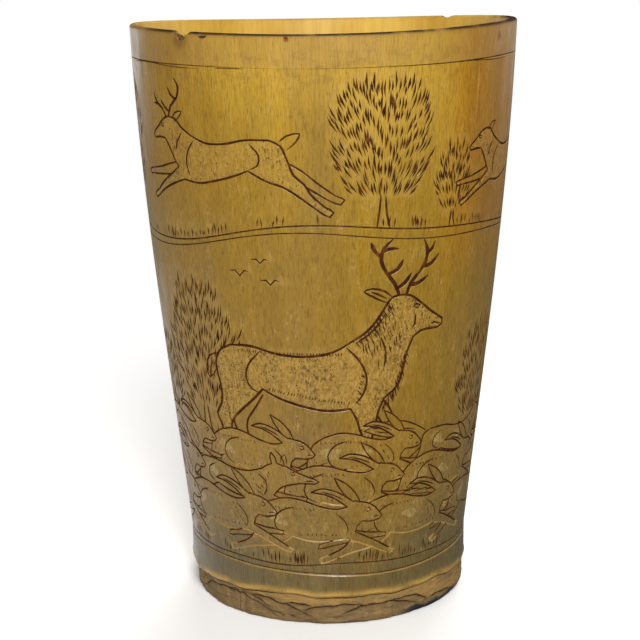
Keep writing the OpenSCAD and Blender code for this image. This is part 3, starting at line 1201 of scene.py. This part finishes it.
def draw_lines():
    """The turned lines, the drying cracks, the cracks in the foot and the line under its bead"""
    ground(sagging_line, "lines", 0.30, stain=False)
    ground(lambda u: sagging_line(u) + 0.36, "lines", 0.18)
    worn = ground(lambda u: RIM_LINE_Z + wave(u, 3.0, *TURNED_RIPPLE), "lines", 0.22)
    worn["widths"] = [width * (0.62 + 0.42 * math.sin(u / 11 - 1.1) + hand.uniform(-0.12, 0.12))
                      for width, (u, _) in zip(worn["widths"], worn["line"])]
    close_ring(worn)
    dice = random.Random(61)
    for degrees, high, low in ((-3.5, 117.9, 105), (49, 117.9, 99), (-61, 117.8, 108), (31, 79, 70),
                               (-28, 66, 57), (142, 117.9, 101), (-155, 117.9, 109)):
        crack = [(unrolled(degrees) + 0.12 * math.sin(k), high + (low - high) * k / 6) for k in range(7)]
        cut(crack, 0.13, "lines", stain=False, start=0.2, stop=0.1)
    for start, stop in ((-72, -36), (-31, -22), (38, 66), (96, 140), (-150, -118)):
        span = even(unrolled(start), unrolled(stop), 30)
        slip = [(u, RIM_LINE_Z - 0.34 + 0.2 * math.sin(u * 0.3) + dice.uniform(-0.03, 0.03)) for u in span]
        cut(slip, 0.17, "lines")
    for flake in flakes:
        draw_crack(flake, dice)
    under = ground(lambda u: rough_top(u) - 0.22, "lines", 0.2)
    under["widths"] = [0.04 + 0.24 * smoothstep(-0.7, 0.9, math.sin(u / 5.3) + math.sin(u / 2.9 + 1))
                       for u, _ in under["line"]]
    close_ring(under)


def draw_crack(flake, dice):
    """Dark cracks along the parts of a flake's edge that show"""
    middle, half = flake[:2]
    runs = [[]]
    for u in even(middle - half, middle + half, int(2 * half / CRACK_STEP)):
        edge = flake_edge(flake, u)
        shown = edge is not None and SHEET_LOW + 0.4 < edge < rough_top(u) - 0.9
        if shown and any(other == edge for other, _ in open_edges(u)):
            runs[-1].append((u, edge))
        elif runs[-1]:
            runs.append([])
    for run in runs:
        if len(run) >= SHORTEST_CRACK:
            cut(run, dice.uniform(0.2, 0.34), "lines", start=0.2, stop=0.1)


# The engraved side's mesh

GROOVE_SHARE = 0.72
SEAM_MARGIN = 0.6
THIN_END = 0.06
STAIN_DROP = 0.012
STAIN_DEPTH_SHARE = 0.96
FULL_CUT = 0.06
FOOT_ROWS = 27
SIDE_ROWS = 44
PATCH_RINGS = (0.93, 1.02)
SIDE_SKIN = 0.6


def on_side(u, z, depth):
    turn = u / ROLL_R
    r = (outer(z) - depth) * MM
    return (r * math.sin(turn), -r * math.cos(turn), z * MM)


def seam_split(one):
    """A cut in as many parts as it has on the sheet, which ends at the seam at the back"""
    if one.get("ring"):
        return [one]
    runs = [[]]
    turn = None
    for (u, z), width in zip(one["line"], one["widths"]):
        copy = math.floor(u / GIRTH + 0.5)
        near_seam = abs(u - copy * GIRTH) > GIRTH / 2 - SEAM_MARGIN
        if copy != turn or near_seam:
            runs.append([])
            turn = copy
        if not near_seam:
            runs[-1].append(((u - copy * GIRTH, z), width))
    return [stretch(one, run) for run in runs if len(run) > 1]


def at_seam(spot):
    return abs(spot[0]) > GIRTH / 2 - 0.1


def sideways(one, half_widths):
    """Points on both sides of a cut's line, this far from it"""
    line = one["line"]
    left, right = [], []
    for i, (u, z) in enumerate(line):
        before = line[max(0, i - 1)]
        after = line[min(len(line) - 1, i + 1)]
        du, dz = after[0] - before[0], after[1] - before[1]
        if at_seam(line[i]):
            du, dz = 1.0, 0.0
        size = math.hypot(du, dz) or 1.0
        half = half_widths[i]
        left.append((u - dz / size * half, z + du / size * half))
        right.append((u + dz / size * half, z - du / size * half))
    return left, right


def beyond(inner, end, reach):
    """A point this far past a line's end"""
    du, dz = end[0] - inner[0], end[1] - inner[1]
    size = math.hypot(du, dz) or 1.0
    return (end[0] + du / size * reach, end[1] + dz / size * reach)


def groove_halves(one):
    return [width / 2 / GROOVE_SHARE for width in one["widths"]]


def groove_depths(spots, parts):
    """How deep the cuts are at each spot: a V whose slope is the same in wide and narrow cuts"""
    cells = {}
    for one in parts:
        halves = groove_halves(one)
        line = one["line"]
        for i in range(len(line) - 1):
            (u0, z0), (u1, z1) = line[i], line[i + 1]
            reach = max(halves[i], halves[i + 1])
            row = (u0, z0, u1, z1, halves[i], halves[i + 1])
            for a in range(math.floor(min(u0, u1) - reach), math.floor(max(u0, u1) + reach) + 1):
                for b in range(math.floor(min(z0, z1) - reach), math.floor(max(z0, z1) + reach) + 1):
                    cells.setdefault((a, b), []).append(row)
    homes = {}
    for i, (u, z) in enumerate(spots):
        key = (math.floor(u), math.floor(z))
        if key in cells:
            homes.setdefault(key, []).append(i)
    depths = np.zeros(len(spots))
    for key, members in homes.items():
        rows = np.array(cells[key])
        at = np.array([spots[i] for i in members])
        start, way = rows[:, 0:2], rows[:, 2:4] - rows[:, 0:2]
        offset = at[:, None, :] - start[None, :, :]
        along = np.clip((offset * way).sum(2) / np.maximum((way ** 2).sum(1), 1e-9), 0, 1)
        gap = np.linalg.norm(offset - along[:, :, None] * way[None, :, :], axis=2)
        half = rows[:, 4] + (rows[:, 5] - rows[:, 4]) * along
        depths[members] = np.maximum(0, (half - gap) * CUT_SLOPE).max(1)
    return depths


def set_masks(piece, masks):
    for name, values in masks.items():
        layer = piece.data.attributes.new(name, "FLOAT", "POINT")
        layer.data.foreach_set("value", np.asarray(values, np.float32))


def cover(spots, layers):
    """The value of the last layer whose outline holds each spot"""
    values = np.zeros(len(spots))
    for outline, value in layers:
        left, low = np.min(outline, 0)
        right, high = np.max(outline, 0)
        for turn in (-GIRTH, 0.0, GIRTH):
            front_shade = np.nonzero((spots[:, 0] + turn > left) & (spots[:, 0] + turn < right)
                              & (spots[:, 1] > low) & (spots[:, 1] < high))[0]
            if not len(front_shade):
                continue
            x = spots[front_shade, 0] + turn
            y = spots[front_shade, 1]
            odd = np.zeros(len(front_shade), bool)
            for (x0, y0), (x1, y1) in zip(outline, outline[1:] + outline[:1]):
                if y0 != y1:
                    odd ^= ((y0 > y) != (y1 > y)) & (x < x0 + (x1 - x0) * (y - y0) / (y1 - y0))
            values[front_shade[odd]] = value
    return values


def groove_rails(one):
    """Both edges of a groove and its bottom, the edges drawn to a point or squarely past its ends"""
    halves = groove_halves(one)
    line = one["line"]
    rails = sideways(one, halves)
    for rail in rails:
        if not at_seam(line[0]):
            rail[:1] = [line[0]] if halves[0] < THIN_END else [beyond(line[1], line[0], halves[0]), rail[0]]
        if not at_seam(line[-1]):
            rail[-1:] = [line[-1]] if halves[-1] < THIN_END else [rail[-1], beyond(*line[-2:], halves[-1])]
    return [*rails, line]


def sheet_points(parts):
    """The points of the unrolled side, and the pairs of them that are tied by an edge"""
    spots = []
    ties = []

    def lay(points):
        first = len(spots)
        spots.extend(points)
        ties.extend((i, i + 1) for i in range(first, len(spots) - 1))

    half = GIRTH / 2
    side_low = FOOT_BAND_TOP + 0.4
    foot_rows = even(SHEET_LOW, side_low, FOOT_ROWS)
    side_rows = even(side_low, SHEET_HIGH, SIDE_ROWS)[1:-1]
    fine = even(-half, half, COLUMNS)
    coarse = even(-half, half, COLUMNS // 2)
    for z in (SHEET_LOW, SHEET_HIGH):
        lay([(u, z) for u in fine])
    for u in (-half, half):
        lay([(u, z) for z in foot_rows + side_rows + [SHEET_HIGH]])
    for rows, columns in ((foot_rows[1:], fine), (side_rows, coarse)):
        for z in rows:
            spots.extend((u, z) for u in columns[1:-1])
    for one in parts:
        for rail in groove_rails(one):
            lay(rail)
    for outline, _ in patches:
        middle = np.mean(outline, 0)
        for size in PATCH_RINGS:
            ring = [tuple(middle + (np.array(spot) - middle) * size) for spot in outline]
            lay(ring + ring[:1])
    return spots, ties


def foot_masks(spots):
    """The rough foot, a painted highlight along the bead above it, the layers over a place and the cracks
    at their edges
    """
    masks = {"rough": [], "bead_highlight": [], "layer": [], "crack": []}
    for u, z in spots:
        top = rough_top(u)
        above = z - top - 0.35
        edges = open_edges(u) if z < top else []
        over = sum(smoothstep(edge + 0.1, edge - 0.1, z) for edge, _ in edges)
        masks["rough"].append(smoothstep(top + 0.05, top - 0.45, z))
        # Where the painted highlight along the bead falls, strongest just over the rough foot's top
        masks["bead_highlight"].append(math.exp(-(above / (0.3 if above < 0 else 0.8)) ** 2))
        masks["layer"].append(min(1.0, 0.5 * over))
        masks["crack"].append(max((deep / DEEPEST_FLAKE * math.exp(-((z - edge + 0.12) / 0.22) ** 2)
                                   for edge, deep in edges), default=0.0))
    return masks


def engraved_side(parts):
    """The side's outer face, from the foot to the rim, with every cut as a groove in it"""
    spots, ties = sheet_points(parts)
    flat, _, faces, *_ = delaunay_2d_cdt([Vector(spot) for spot in spots], ties, [], 0, 1e-4, False)
    flat = [(spot.x, spot.y) for spot in flat]
    kept = []
    for face in faces:
        u = sum(flat[i][0] for i in face) / len(face)
        z = sum(flat[i][1] for i in face) / len(face)
        if abs(u) < GIRTH / 2 - 1e-4 and SHEET_LOW < z < SHEET_HIGH:
            kept.append(face)
    depths = groove_depths(flat, parts)
    sheet = mesh_piece("engraved_side", [on_side(u, z, d) for (u, z), d in zip(flat, depths)], kept)
    places = np.array(flat)
    set_masks(sheet, {"cut": np.minimum(1.0, depths / FULL_CUT), "fur": cover(places, coats),
                      "scraped": cover(places, patches), **foot_masks(flat)})
    layout = sheet.data.uv_layers.new(name="OFBake")
    for loop in sheet.data.loops:
        u, z = flat[loop.vertex_index]
        layout.data[loop.index].uv = (layout_across(u / GIRTH), SIDE_STRIP[0] + SIDE_STRIP[1] * z / HEIGHT)
    return sheet


# The flat layout has the picture on top, upright and unbroken, and the other faces as strips under it.
# Each strip has a low edge and a height.

LAYOUT_EDGE = 0.004
SIDE_STRIP = (0.40, 0.596)
LIP_STRIP = (0.350, 0.040)
RIM_STRIP = (0.335, 0.010)
INSIDE_STRIP = (0.030, 0.295)
GROOVE_STRIP = (0.018, 0.010)
FOOT_STRIP = (0.002, 0.010)
FOOT_EDGE_RISE = 0.004


def layout_across(share):
    """Where a share of a turn from the front, from -0.5 to 0.5, lies across the layout"""
    return LAYOUT_EDGE + (1 - 2 * LAYOUT_EDGE) * (share + 0.5)


def lay_out_plain(wall):
    mesh = wall.data
    layout = mesh.uv_layers.new(name="OFBake")
    for face in mesh.polygons:
        middle = face.center
        home = facing(middle.x, middle.y)
        z_mid = middle.z / MM
        r_mid = math.hypot(middle.x, middle.y) / MM
        for index in face.loop_indices:
            spot = mesh.vertices[mesh.loops[index].vertex_index].co
            turn = facing(spot.x, spot.y)
            turn += 2 * math.pi * round((home - turn) / (2 * math.pi))
            z = spot.z / MM
            r = math.hypot(spot.x, spot.y) / MM
            if z_mid > SHEET_HIGH - 0.1 and r_mid > bore(z_mid) + 0.3:
                strip, share = LIP_STRIP, (z - SHEET_HIGH) / (HEIGHT - SHEET_HIGH)
                if face.normal.z > 0.6:
                    strip, share = RIM_STRIP, (r - bore(HEIGHT)) / RIM_WALL
            elif z_mid > DISC_TOP:
                strip, share = INSIDE_STRIP, z / HEIGHT
            elif r_mid < BORE_BOTTOM_R + GROOVE_D + 0.2 and face.normal.z > -0.9:
                strip, share = GROOVE_STRIP, z / DISC_TOP
            else:
                strip = (FOOT_STRIP[0] + FOOT_EDGE_RISE * z / FOOT_ROUND, FOOT_STRIP[1])
                share = (r - BORE_BOTTOM_R) / FOOT_WALL
            layout.data[index].uv = (layout_across(turn / (2 * math.pi)), strip[0] + strip[1] * share)


def stain_piece(name, parts):
    """The brown stain in the bottom of the cuts, a three-sided rod in each"""
    points = []
    faces = []
    for one in parts:
        line = one["line"]
        depths = [half * CUT_SLOPE for half in groove_halves(one)]
        halves = [half * GROOVE_SHARE for half in groove_halves(one)]
        left, right = sideways(one, halves)
        last = len(line) - 1
        rings = []
        for i, (u, z) in enumerate(line):
            top = max(0.0, depths[i] * (1 - GROOVE_SHARE) - STAIN_DROP)
            sunk = foot_loss(u, z)
            is_end = i in (0, last) and not at_seam((u, z))
            blunt = is_end and halves[i] > THIN_END
            here = []
            if is_end:
                tip = beyond(line[1 if i == 0 else last - 1], (u, z), halves[i] * 0.8) if blunt else (u, z)
                here.append([len(points)] * 3)
                points.append(on_side(*tip, top + foot_loss(*tip)))
            if blunt or not is_end:
                here.append([len(points) + k for k in range(3)])
                points.append(on_side(*left[i], top + sunk))
                points.append(on_side(*right[i], top + sunk))
                points.append(on_side(u, z, depths[i] * STAIN_DEPTH_SHARE + sunk))
            rings += here[::-1] if i == last else here
        for low, high in zip(rings, rings[1:]):
            for a, b in ((0, 1), (1, 2), (2, 0)):
                corners = [low[a], low[b], high[b], high[a]]
                corners = [v for k, v in enumerate(corners) if v not in corners[:k]]
                if len(corners) > 2:
                    faces.append(corners)
    piece = mesh_piece(name, points, faces)
    edit(piece)
    bpy.ops.mesh.remove_doubles(threshold=0.0005 * MM)
    bpy.ops.mesh.delete_loose(use_verts=True, use_edges=True, use_faces=False)
    bpy.ops.mesh.select_all(action="SELECT")
    bpy.ops.mesh.normals_make_consistent(inside=False)
    leave()
    return piece


# Chips

def bite(wall, degrees, r, z, size, lean, seed):
    """A chip broken out of the rim by a lumpy ball of this size"""
    dice = random.Random(seed)
    clear_selection()
    bpy.ops.mesh.primitive_ico_sphere_add(subdivisions=3, radius=MM, location=(0, 0, 0))
    ball = bpy.context.object
    for vertex in ball.data.vertices:
        vertex.co *= 1 + dice.uniform(-0.10, 0.10)
    edit(ball)
    bpy.ops.transform.resize(value=size, center_override=(0, 0, 0))
    leave()
    turn = math.radians(degrees)
    for move in (Matrix.Rotation(math.radians(lean), 4, "Y"), Matrix.Rotation(turn, 4, "Z"),
                 Matrix.Translation((r * MM * math.sin(turn), -r * MM * math.cos(turn), z * MM))):
        ball.data.transform(move)
    take(wall)
    cutter = wall.modifiers.new("bite", "BOOLEAN")
    cutter.operation = "DIFFERENCE"
    cutter.solver = "MANIFOLD"
    cutter.object = ball
    apply_modifiers(wall)
    bpy.data.objects.remove(ball)


def chip_rim(wall):
    """The chip left of the front, small nicks in front and on the right, and two chips at the back"""
    top = HEIGHT
    edge = RIM_R - RIM_WALL / 2
    for chip in (
            (-45.4, edge, top + 0.30, (2.0, 3.0, 0.95), 27, 1),
            (-42.9, edge, top - 0.15, (1.15, 3.0, 1.45), 0, 2),
            (-40.6, edge, top + 0.35, (1.5, 3.0, 0.9), -27, 9),
            (-42.9, RIM_R + 0.75, top - 0.9, (1.9, 1.25, 1.3), 10, 3),
            (-34.8, RIM_R - 0.1, top - 0.35, (1.2, 0.8, 0.75), 0, 4),
            (-9.9, RIM_R + 0.25, top - 0.6, (0.45, 0.55, 0.4), 0, 5),
            (59.5, RIM_R + 0.35, top - 2.3, (0.35, 0.6, 1.0), 18, 6),
            (134.0, edge + 0.2, top + 0.3, (2.2, 3.0, 0.9), 5, 7),
            (-112.0, RIM_R, top + 0.1, (1.5, 1.0, 0.7), 0, 8)):
        bite(wall, *chip)


def mark_plain(wall):
    """Masks on the spun wall: its inside, its lip, its broken places and its foot"""
    masks = {"inside": [], "lip": [], "chip": [], "rough": []}
    for vertex in wall.data.vertices:
        x, y, z = (value / MM for value in vertex.co)
        r = math.hypot(x, y)
        depth = r - bore(min(max(z, DISC_TOP), HEIGHT))
        masks["inside"].append(smoothstep(0.55, 0.1, depth / wall_at(z)) if z > DISC_Z else 0.0)
        masks["lip"].append(smoothstep(HEIGHT - 0.75, HEIGHT - 0.1, z))
        broken = 0.06 < depth < wall_at(z) - 0.06 and SHEET_HIGH < z < HEIGHT - RIM_ROUND
        masks["chip"].append(float(broken))
        masks["rough"].append(float(z < FOOT_STEP_Z and r > BORE_BOTTOM_R - 0.1))
    masks["layer"] = [0.7 * value for value in masks["rough"]]
    set_masks(wall, masks)


def make_wall(parts):
    wall = plain_wall()
    chip_rim(wall)
    edit(wall)

    def on_the_side(face):
        spot = face.calc_center_median() / MM
        return SHEET_LOW < spot.z < SHEET_HIGH and math.hypot(spot.x, spot.y) > outer(spot.z) - SIDE_SKIN

    select_faces(wall, on_the_side)
    bpy.ops.mesh.delete(type="FACE")
    leave()
    lay_out_plain(wall)
    mark_plain(wall)
    side_sheet = engraved_side(parts)
    take(side_sheet)
    wall.select_set(True)
    bpy.context.view_layer.objects.active = wall
    bpy.ops.object.join()
    edit(wall)
    bpy.ops.mesh.remove_doubles(threshold=0.002 * MM)
    bpy.ops.mesh.normals_make_consistent(inside=False)
    leave()
    for vertex in wall.data.vertices:
        x, y, z = (value / MM for value in vertex.co)
        r = math.hypot(x, y)
        if z < FOOT_SHAPED_TOP and r > FOOT_BAND_R - FOOT_ROUND - 0.1:
            loss = foot_loss(facing(x, y) * ROLL_R, z) * (0.5 + 0.5 * smoothstep(0, FOOT_ROUND, z))
            vertex.co.x *= (r - loss) / r
            vertex.co.y *= (r - loss) / r
    return wall


# Horn, stain, disc and seal finishes, with heights in metres, as the materials read them

# The side's colours from the foot to the rim. Their darkening towards the foot is partly the horn's olive
# colour and partly painted shade
SIDE_TONES_AND_SHADE = ((0.02, 90, 78, 46), (0.10, 92, 79, 45), (0.17, 108, 87, 39), (0.34, 124, 96, 29),
               (0.62, 129, 100, 21), (0.80, 140, 110, 24), (0.95, 164, 132, 41))
BROAD_STREAKS = ((0.3, 0.88, 0.86, 0.82), (0.5, 1.0, 1.0, 1.0), (0.7, 1.08, 1.07, 1.04))
FINE_STREAKS = ((0.28, 0.76, 0.70, 0.60), (0.5, 1.0, 1.0, 1.0), (0.72, 1.12, 1.12, 1.14))
DASHES = ((0.34, 0.66, 0.58, 0.46), (0.46, 1.0, 1.0, 1.0), (0.66, 1.12, 1.10, 1.06))
INSIDE_GRAIN = ((0.3, 0.82, 0.77, 0.68), (0.55, 1.0, 1.0, 1.0))
FOOT_SHADES = ((0.30, 88, 68, 38), (0.46, 122, 98, 54), (0.60, 136, 110, 62), (0.75, 158, 132, 82))
BROKEN_SHADES = ((0.40, 32, 19, 7), (0.60, 72, 50, 21), (0.80, 128, 104, 62))
CRACK_SHADE = (44, 28, 14)
DISC_RING_TURNS = 5200.0

# Nicks and small dark spots at the rim: place in millimetres, reach, strength and colour
RIM_SPOTS = (
    ((-6.9, -39.4, 119.85), 0.75, 0.85, (112, 50, 14)), ((-22.8, -32.8, 120.6), 1.1, 0.8, (44, 28, 10)),
    ((34.3, -20.0, 119.2), 1.2, 0.6, (60, 38, 14)), ((-27.2, -28.8, 119.8), 2.9, 0.6, (92, 62, 22)))


def side_colour(horn, turn, z):
    """Amber at the top and olive lower down, darker towards the foot partly as painted shade, with painted
    side shade in tan on the left and in deep amber on the right
    """
    wander = horn.times(horn.sum("SUBTRACT", horn.noise(16, 60, 3.0), 0.5), 0.34)
    share = horn.sum("ADD", horn.times(z, 1 / (HEIGHT * MM)), wander)
    # Colour up the side, darker low down partly as painted shade
    base = horn.tones(share, *SIDE_TONES_AND_SHADE)
    # Painted side shade high on the left, a darker tan
    base = horn.tint(base, (132, 98, 26), horn.between(turn, -0.42, -0.80), horn.between(turn, -2.0, -1.3),
                     horn.between(z, 0.078, 0.098), 0.7)
    # Painted side shade high on the right, a deeper amber
    base = horn.tint(base, (140, 96, 5), horn.between(turn, 0.52, 0.86), horn.between(turn, 1.9, 1.25),
                     horn.between(z, 0.066, 0.088), 0.92)
    return horn.tint(base, (112, 90, 46), horn.between(horn.noise(20, 70, 8.0, 3.0), 0.5, 0.72), 0.5)


def side_grain(horn, base):
    """Streaks, dark hairs, dashes and flecks along the grain"""
    base = horn.streaked(base, 0.85, horn.noise(4.5, 90, 0.0, 3.0, 0.55), *BROAD_STREAKS)
    base = horn.streaked(base, 0.9, horn.noise(0.36, 10, 2.0, 4.0, 0.62), *FINE_STREAKS)
    base = horn.tint(base, (92, 58, 20), horn.between(horn.noise(0.30, 11, 21.0, 3.0, 0.6), 0.64, 0.74),
                     horn.between(horn.noise(9, 14, 5.0), 0.42, 0.62), 0.55)
    base = horn.streaked(base, 0.85, horn.noise(0.24, 1.9, 37.0, 3.0, 0.6), *DASHES)
    flecks = horn.between(horn.noise(0.55, 0.95, 31.0, 2.0, 0.5), 0.70, 0.78)
    return horn.tint(base, (84, 52, 20), flecks, 0.7)


def side_wear(horn, base, z):
    """Pale worn specks, soil near the upper turned line and a greyer band above it"""
    base = horn.tint(base, (190, 158, 96), horn.between(horn.noise(2.4, 5.0, 14.0, 4.0, 0.65), 0.52, 0.70),
                     horn.between(horn.noise(0.35, 0.8, 3.0, 2.0), 0.45, 0.62),
                     horn.between(z, 0.010, 0.017, 0.12, 0.30))
    base = horn.tint(base, (112, 80, 30), horn.between(z, 0.1085, 0.1135), horn.between(z, 0.1205, 0.1160),
                     horn.between(horn.noise(3.2, 1.8, 19.0, 5.0, 0.65), 0.46, 0.66), 0.45)
    band = horn.between(z, RIM_LINE_Z * MM - 0.0011, RIM_LINE_Z * MM - 0.0004)
    return horn.tint(base, (148, 116, 66), band, 0.34)


def fur_and_cuts(horn, base, fur, specks):
    """Pale scraped specks with dark pricks between them, scraped places, and a painted highlight on the
    walls of the cuts
    """
    base = horn.tint(base, (180, 144, 72), fur, horn.between(specks, 0.44, 0.60), 0.42)
    tufts = horn.between(horn.noise(4.0, 6.5, 17.0, 3.0), 0.44, 0.62)
    pricks = horn.times(fur, horn.between(horn.noise(0.50, 0.80, 53.0, 3.0, 0.6), 0.53, 0.63))
    pricks = horn.sum("MULTIPLY", pricks, horn.sum("ADD", tufts, 0.14), clamp=True)
    base = horn.tint(base, (58, 34, 14), pricks, 0.85)
    scratchy = horn.between(horn.noise(0.4, 1.2, 23.0, 4.0, 0.65), 0.38, 0.62, 0.05, 0.52)
    base = horn.tint(base, (168, 148, 98), horn.attribute("scraped"), scratchy)
    # Painted highlight: the walls of the cuts are lightened wherever a groove is
    return horn.tint(base, (186, 146, 78), horn.attribute("cut"), 0.55)


def inside_and_lip(horn, base, turn, z):
    """A warmer inside that darkens to the bottom, a lip darkened in patches all round with painted shade
    that makes it darkest in front, and dark broken places
    """
    inner = horn.tones(horn.noise(13, 50, 6.0, 3.0), (0.32, 176, 138, 46), (0.6, 206, 173, 82))
    inner = horn.streaked(inner, 0.8, horn.noise(1.1, 30, 11.0, 4.0, 0.6), *INSIDE_GRAIN)
    inner = horn.tint(inner, (96, 66, 26), horn.between(z, 0.05, 0.012))
    base = horn.blend(horn.attribute("inside"), base, inner)
    # Painted shade on the lip, strongest across the front and weaker at the back
    front_shade = horn.times(horn.between(turn, -1.25, -0.85), horn.between(turn, 2.1, 1.6))
    base = horn.tint(base, (40, 22, 6), horn.attribute("lip"), horn.between(front_shade, 0.0, 1.0, 0.3, 1.0),
                     horn.between(horn.noise(5, 5, 9.0, 3.0), 0.30, 0.5, 0.45, 1.0))
    broken = horn.tones(horn.noise(0.7, 0.5, 4.0, 3.0), *BROKEN_SHADES)
    return horn.blend(horn.attribute("chip"), base, broken)


def foot_colour(horn, base, rough, turn, z):
    """Brown layers with amber ones above, a painted highlight on the bead, dark cracks and a burnt place
    low on the right
    """
    deep = horn.attribute("layer")
    layers = horn.tones(horn.noise(9, 1.2, 2.0, 4.0, 0.55, 0.5), *FOOT_SHADES)
    layers = horn.blend(0.35, layers, horn.tones(horn.noise(2.2, 1.6, 7.0, 4.0, 0.6),
                                                 (0.35, 92, 72, 42), (0.65, 144, 118, 70)))
    layers = horn.tint(layers, (94, 72, 50), deep, 0.45)
    layers = horn.tint(layers, (158, 122, 62), horn.between(deep, 0.45, 0.0),
                       horn.between(horn.noise(6, 2.5, 33.0, 3.0), 0.40, 0.62, 0.05, 0.5))
    base = horn.blend(rough, base, layers)
    # Painted highlight along the bead over the rough foot
    base = horn.tint(base, (178, 140, 66), horn.attribute("bead_highlight"),
                     horn.between(horn.noise(5, 3, 8.0, 3.0), 0.32, 0.6, 0.35, 0.85))
    base = horn.tint(base, CRACK_SHADE, horn.attribute("crack"), 0.9)
    low_edge = horn.sum("ADD", z, horn.times(horn.noise(3, 3, 27.0, 3.0), 0.0026))
    return horn.tint(base, (34, 36, 42), horn.between(low_edge, 0.0034, 0.0024), rough,
                     horn.between(turn, 0.46, 0.66), horn.between(turn, 1.30, 1.06))


def horn_finish():
    horn = Finish("horn")
    z = horn.axis("Z")
    turn = horn.sum("ARCTAN2", horn.axis("X"), horn.times(horn.axis("Y"), -1.0))
    fur = horn.attribute("fur")
    rough = horn.attribute("rough")
    specks = horn.noise(0.5, 0.8, 41.0, 4.0, 0.7)
    base = side_wear(horn, side_grain(horn, side_colour(horn, turn, z)), z)
    base = fur_and_cuts(horn, base, fur, specks)
    base = inside_and_lip(horn, base, turn, z)
    base = foot_colour(horn, base, rough, turn, z)
    for middle, reach, share, shade in RIM_SPOTS:
        base = horn.tint(base, shade, horn.spot(middle, reach), share)
    gloss = horn.between(horn.noise(3.0, 8.0, 12.0, 4.0, 0.6), 0.3, 0.7, 0.34, 0.50)
    gloss = horn.sum("SUBTRACT", gloss, horn.between(z, 0.060, 0.025, 0.0, 0.12))
    for mask, share in ((rough, 0.44), (horn.attribute("lip"), 0.3), (horn.attribute("chip"), 0.3)):
        gloss = horn.sum("ADD", gloss, horn.times(mask, share))
    gloss = horn.sum("ADD", gloss, horn.times(fur, 0.12), clamp=True)
    normal = horn.bump(horn.noise(0.45, 9, 2.0, 3.0), 0.05)
    normal = horn.bump(horn.times(specks, fur), 0.10, normal)
    normal = horn.bump(horn.noise(6, 14, 1.0, 2.0), 0.22, normal)
    normal = horn.bump(horn.times(horn.noise(2.4, 0.8, 2.0, 5.0, 0.6), rough), 0.50, normal)
    return horn.close(base, gloss, normal, Subsurface_Weight=0.30, Subsurface_Radius=(1.0, 0.48, 0.14),
                      Subsurface_Scale=0.0028, IOR=1.54, Specular_IOR_Level=0.3)


def stain_finish():
    stain = Finish("line_stain")
    tone = stain.tones(stain.noise(1.3, 2.6, 4.0, 4.0, 0.6), (0.30, 36, 16, 4), (0.54, 64, 32, 9),
                       (0.74, 104, 61, 21))
    return stain.close(tone, 0.8, None, Specular_IOR_Level=0.08)


def disc_finish():
    """Scraped dark horn with fine turned rings and grime"""
    disc = Finish("dark_horn")
    x, y = disc.axis("X"), disc.axis("Y")
    reach = disc.sum("SQRT", disc.sum("ADD", disc.times(x, x), disc.times(y, y)))
    rings = disc.sum("SINE", disc.times(reach, DISC_RING_TURNS))
    rings = disc.times(disc.sum("ADD", rings, 1.0), 0.5)
    base = disc.tones(disc.noise(4, 4, 3.0, 4.0, 0.6), (0.3, 84, 62, 38), (0.55, 120, 92, 54),
                      (0.75, 156, 124, 78))
    base = disc.tint(base, (40, 28, 18), rings, 0.25)
    grime = disc.between(disc.noise(9, 9, 7.0, 4.0, 0.65), 0.42, 0.66)
    base = disc.tint(base, (132, 108, 74), grime, 0.45)
    normal = disc.bump(disc.noise(2.4, 2.4, 1.0, 3.0), 0.12, disc.bump(rings, 0.05))
    return disc.close(base, disc.between(grime, 0.0, 1.0, 0.42, 0.7), normal)


def seal_finish():
    seal = Finish("pitch")
    base = seal.tones(seal.noise(1.6, 1.2, 1.0, 4.0, 0.6), (0.35, 26, 18, 12), (0.7, 58, 42, 28))
    normal = seal.bump(seal.noise(1.8, 1.0, 5.0, 3.0), 0.3)
    return seal.close(base, seal.between(seal.noise(3, 3, 8.0), 0.35, 0.65, 0.25, 0.6), normal)


# Putting it together

CRISP_EDGE = 16
SOFT_EDGE = 30

set_camera()
set_studio()
draw_upper()
draw_middle()
draw_lower()
draw_lines()
parts = [part for one in cuts for part in seam_split(one)]

wall = make_wall(parts)
settle_rim(wall)
smooth(wall, CRISP_EDGE)
dress(wall, horn_finish())
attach(wall, "root")
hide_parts("horn_wall")

for name, finish, slot in (("bottom_disc", disc_finish, "dark_horn"), ("pitch_seal", seal_finish, "pitch")):
    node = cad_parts[name]
    dress(node, finish())
    smooth(node, SOFT_EDGE)

stain = stain_finish()
for group in ("upper", "middle", "lower", "lines"):
    stained = [part for part in parts if part["group"] == group and part["stain"]]
    piece = stain_piece("stain_" + group, stained)
    settle_rim(piece)
    smooth(piece, SOFT_EDGE)
    dress(piece, stain)
    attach(piece, "root")
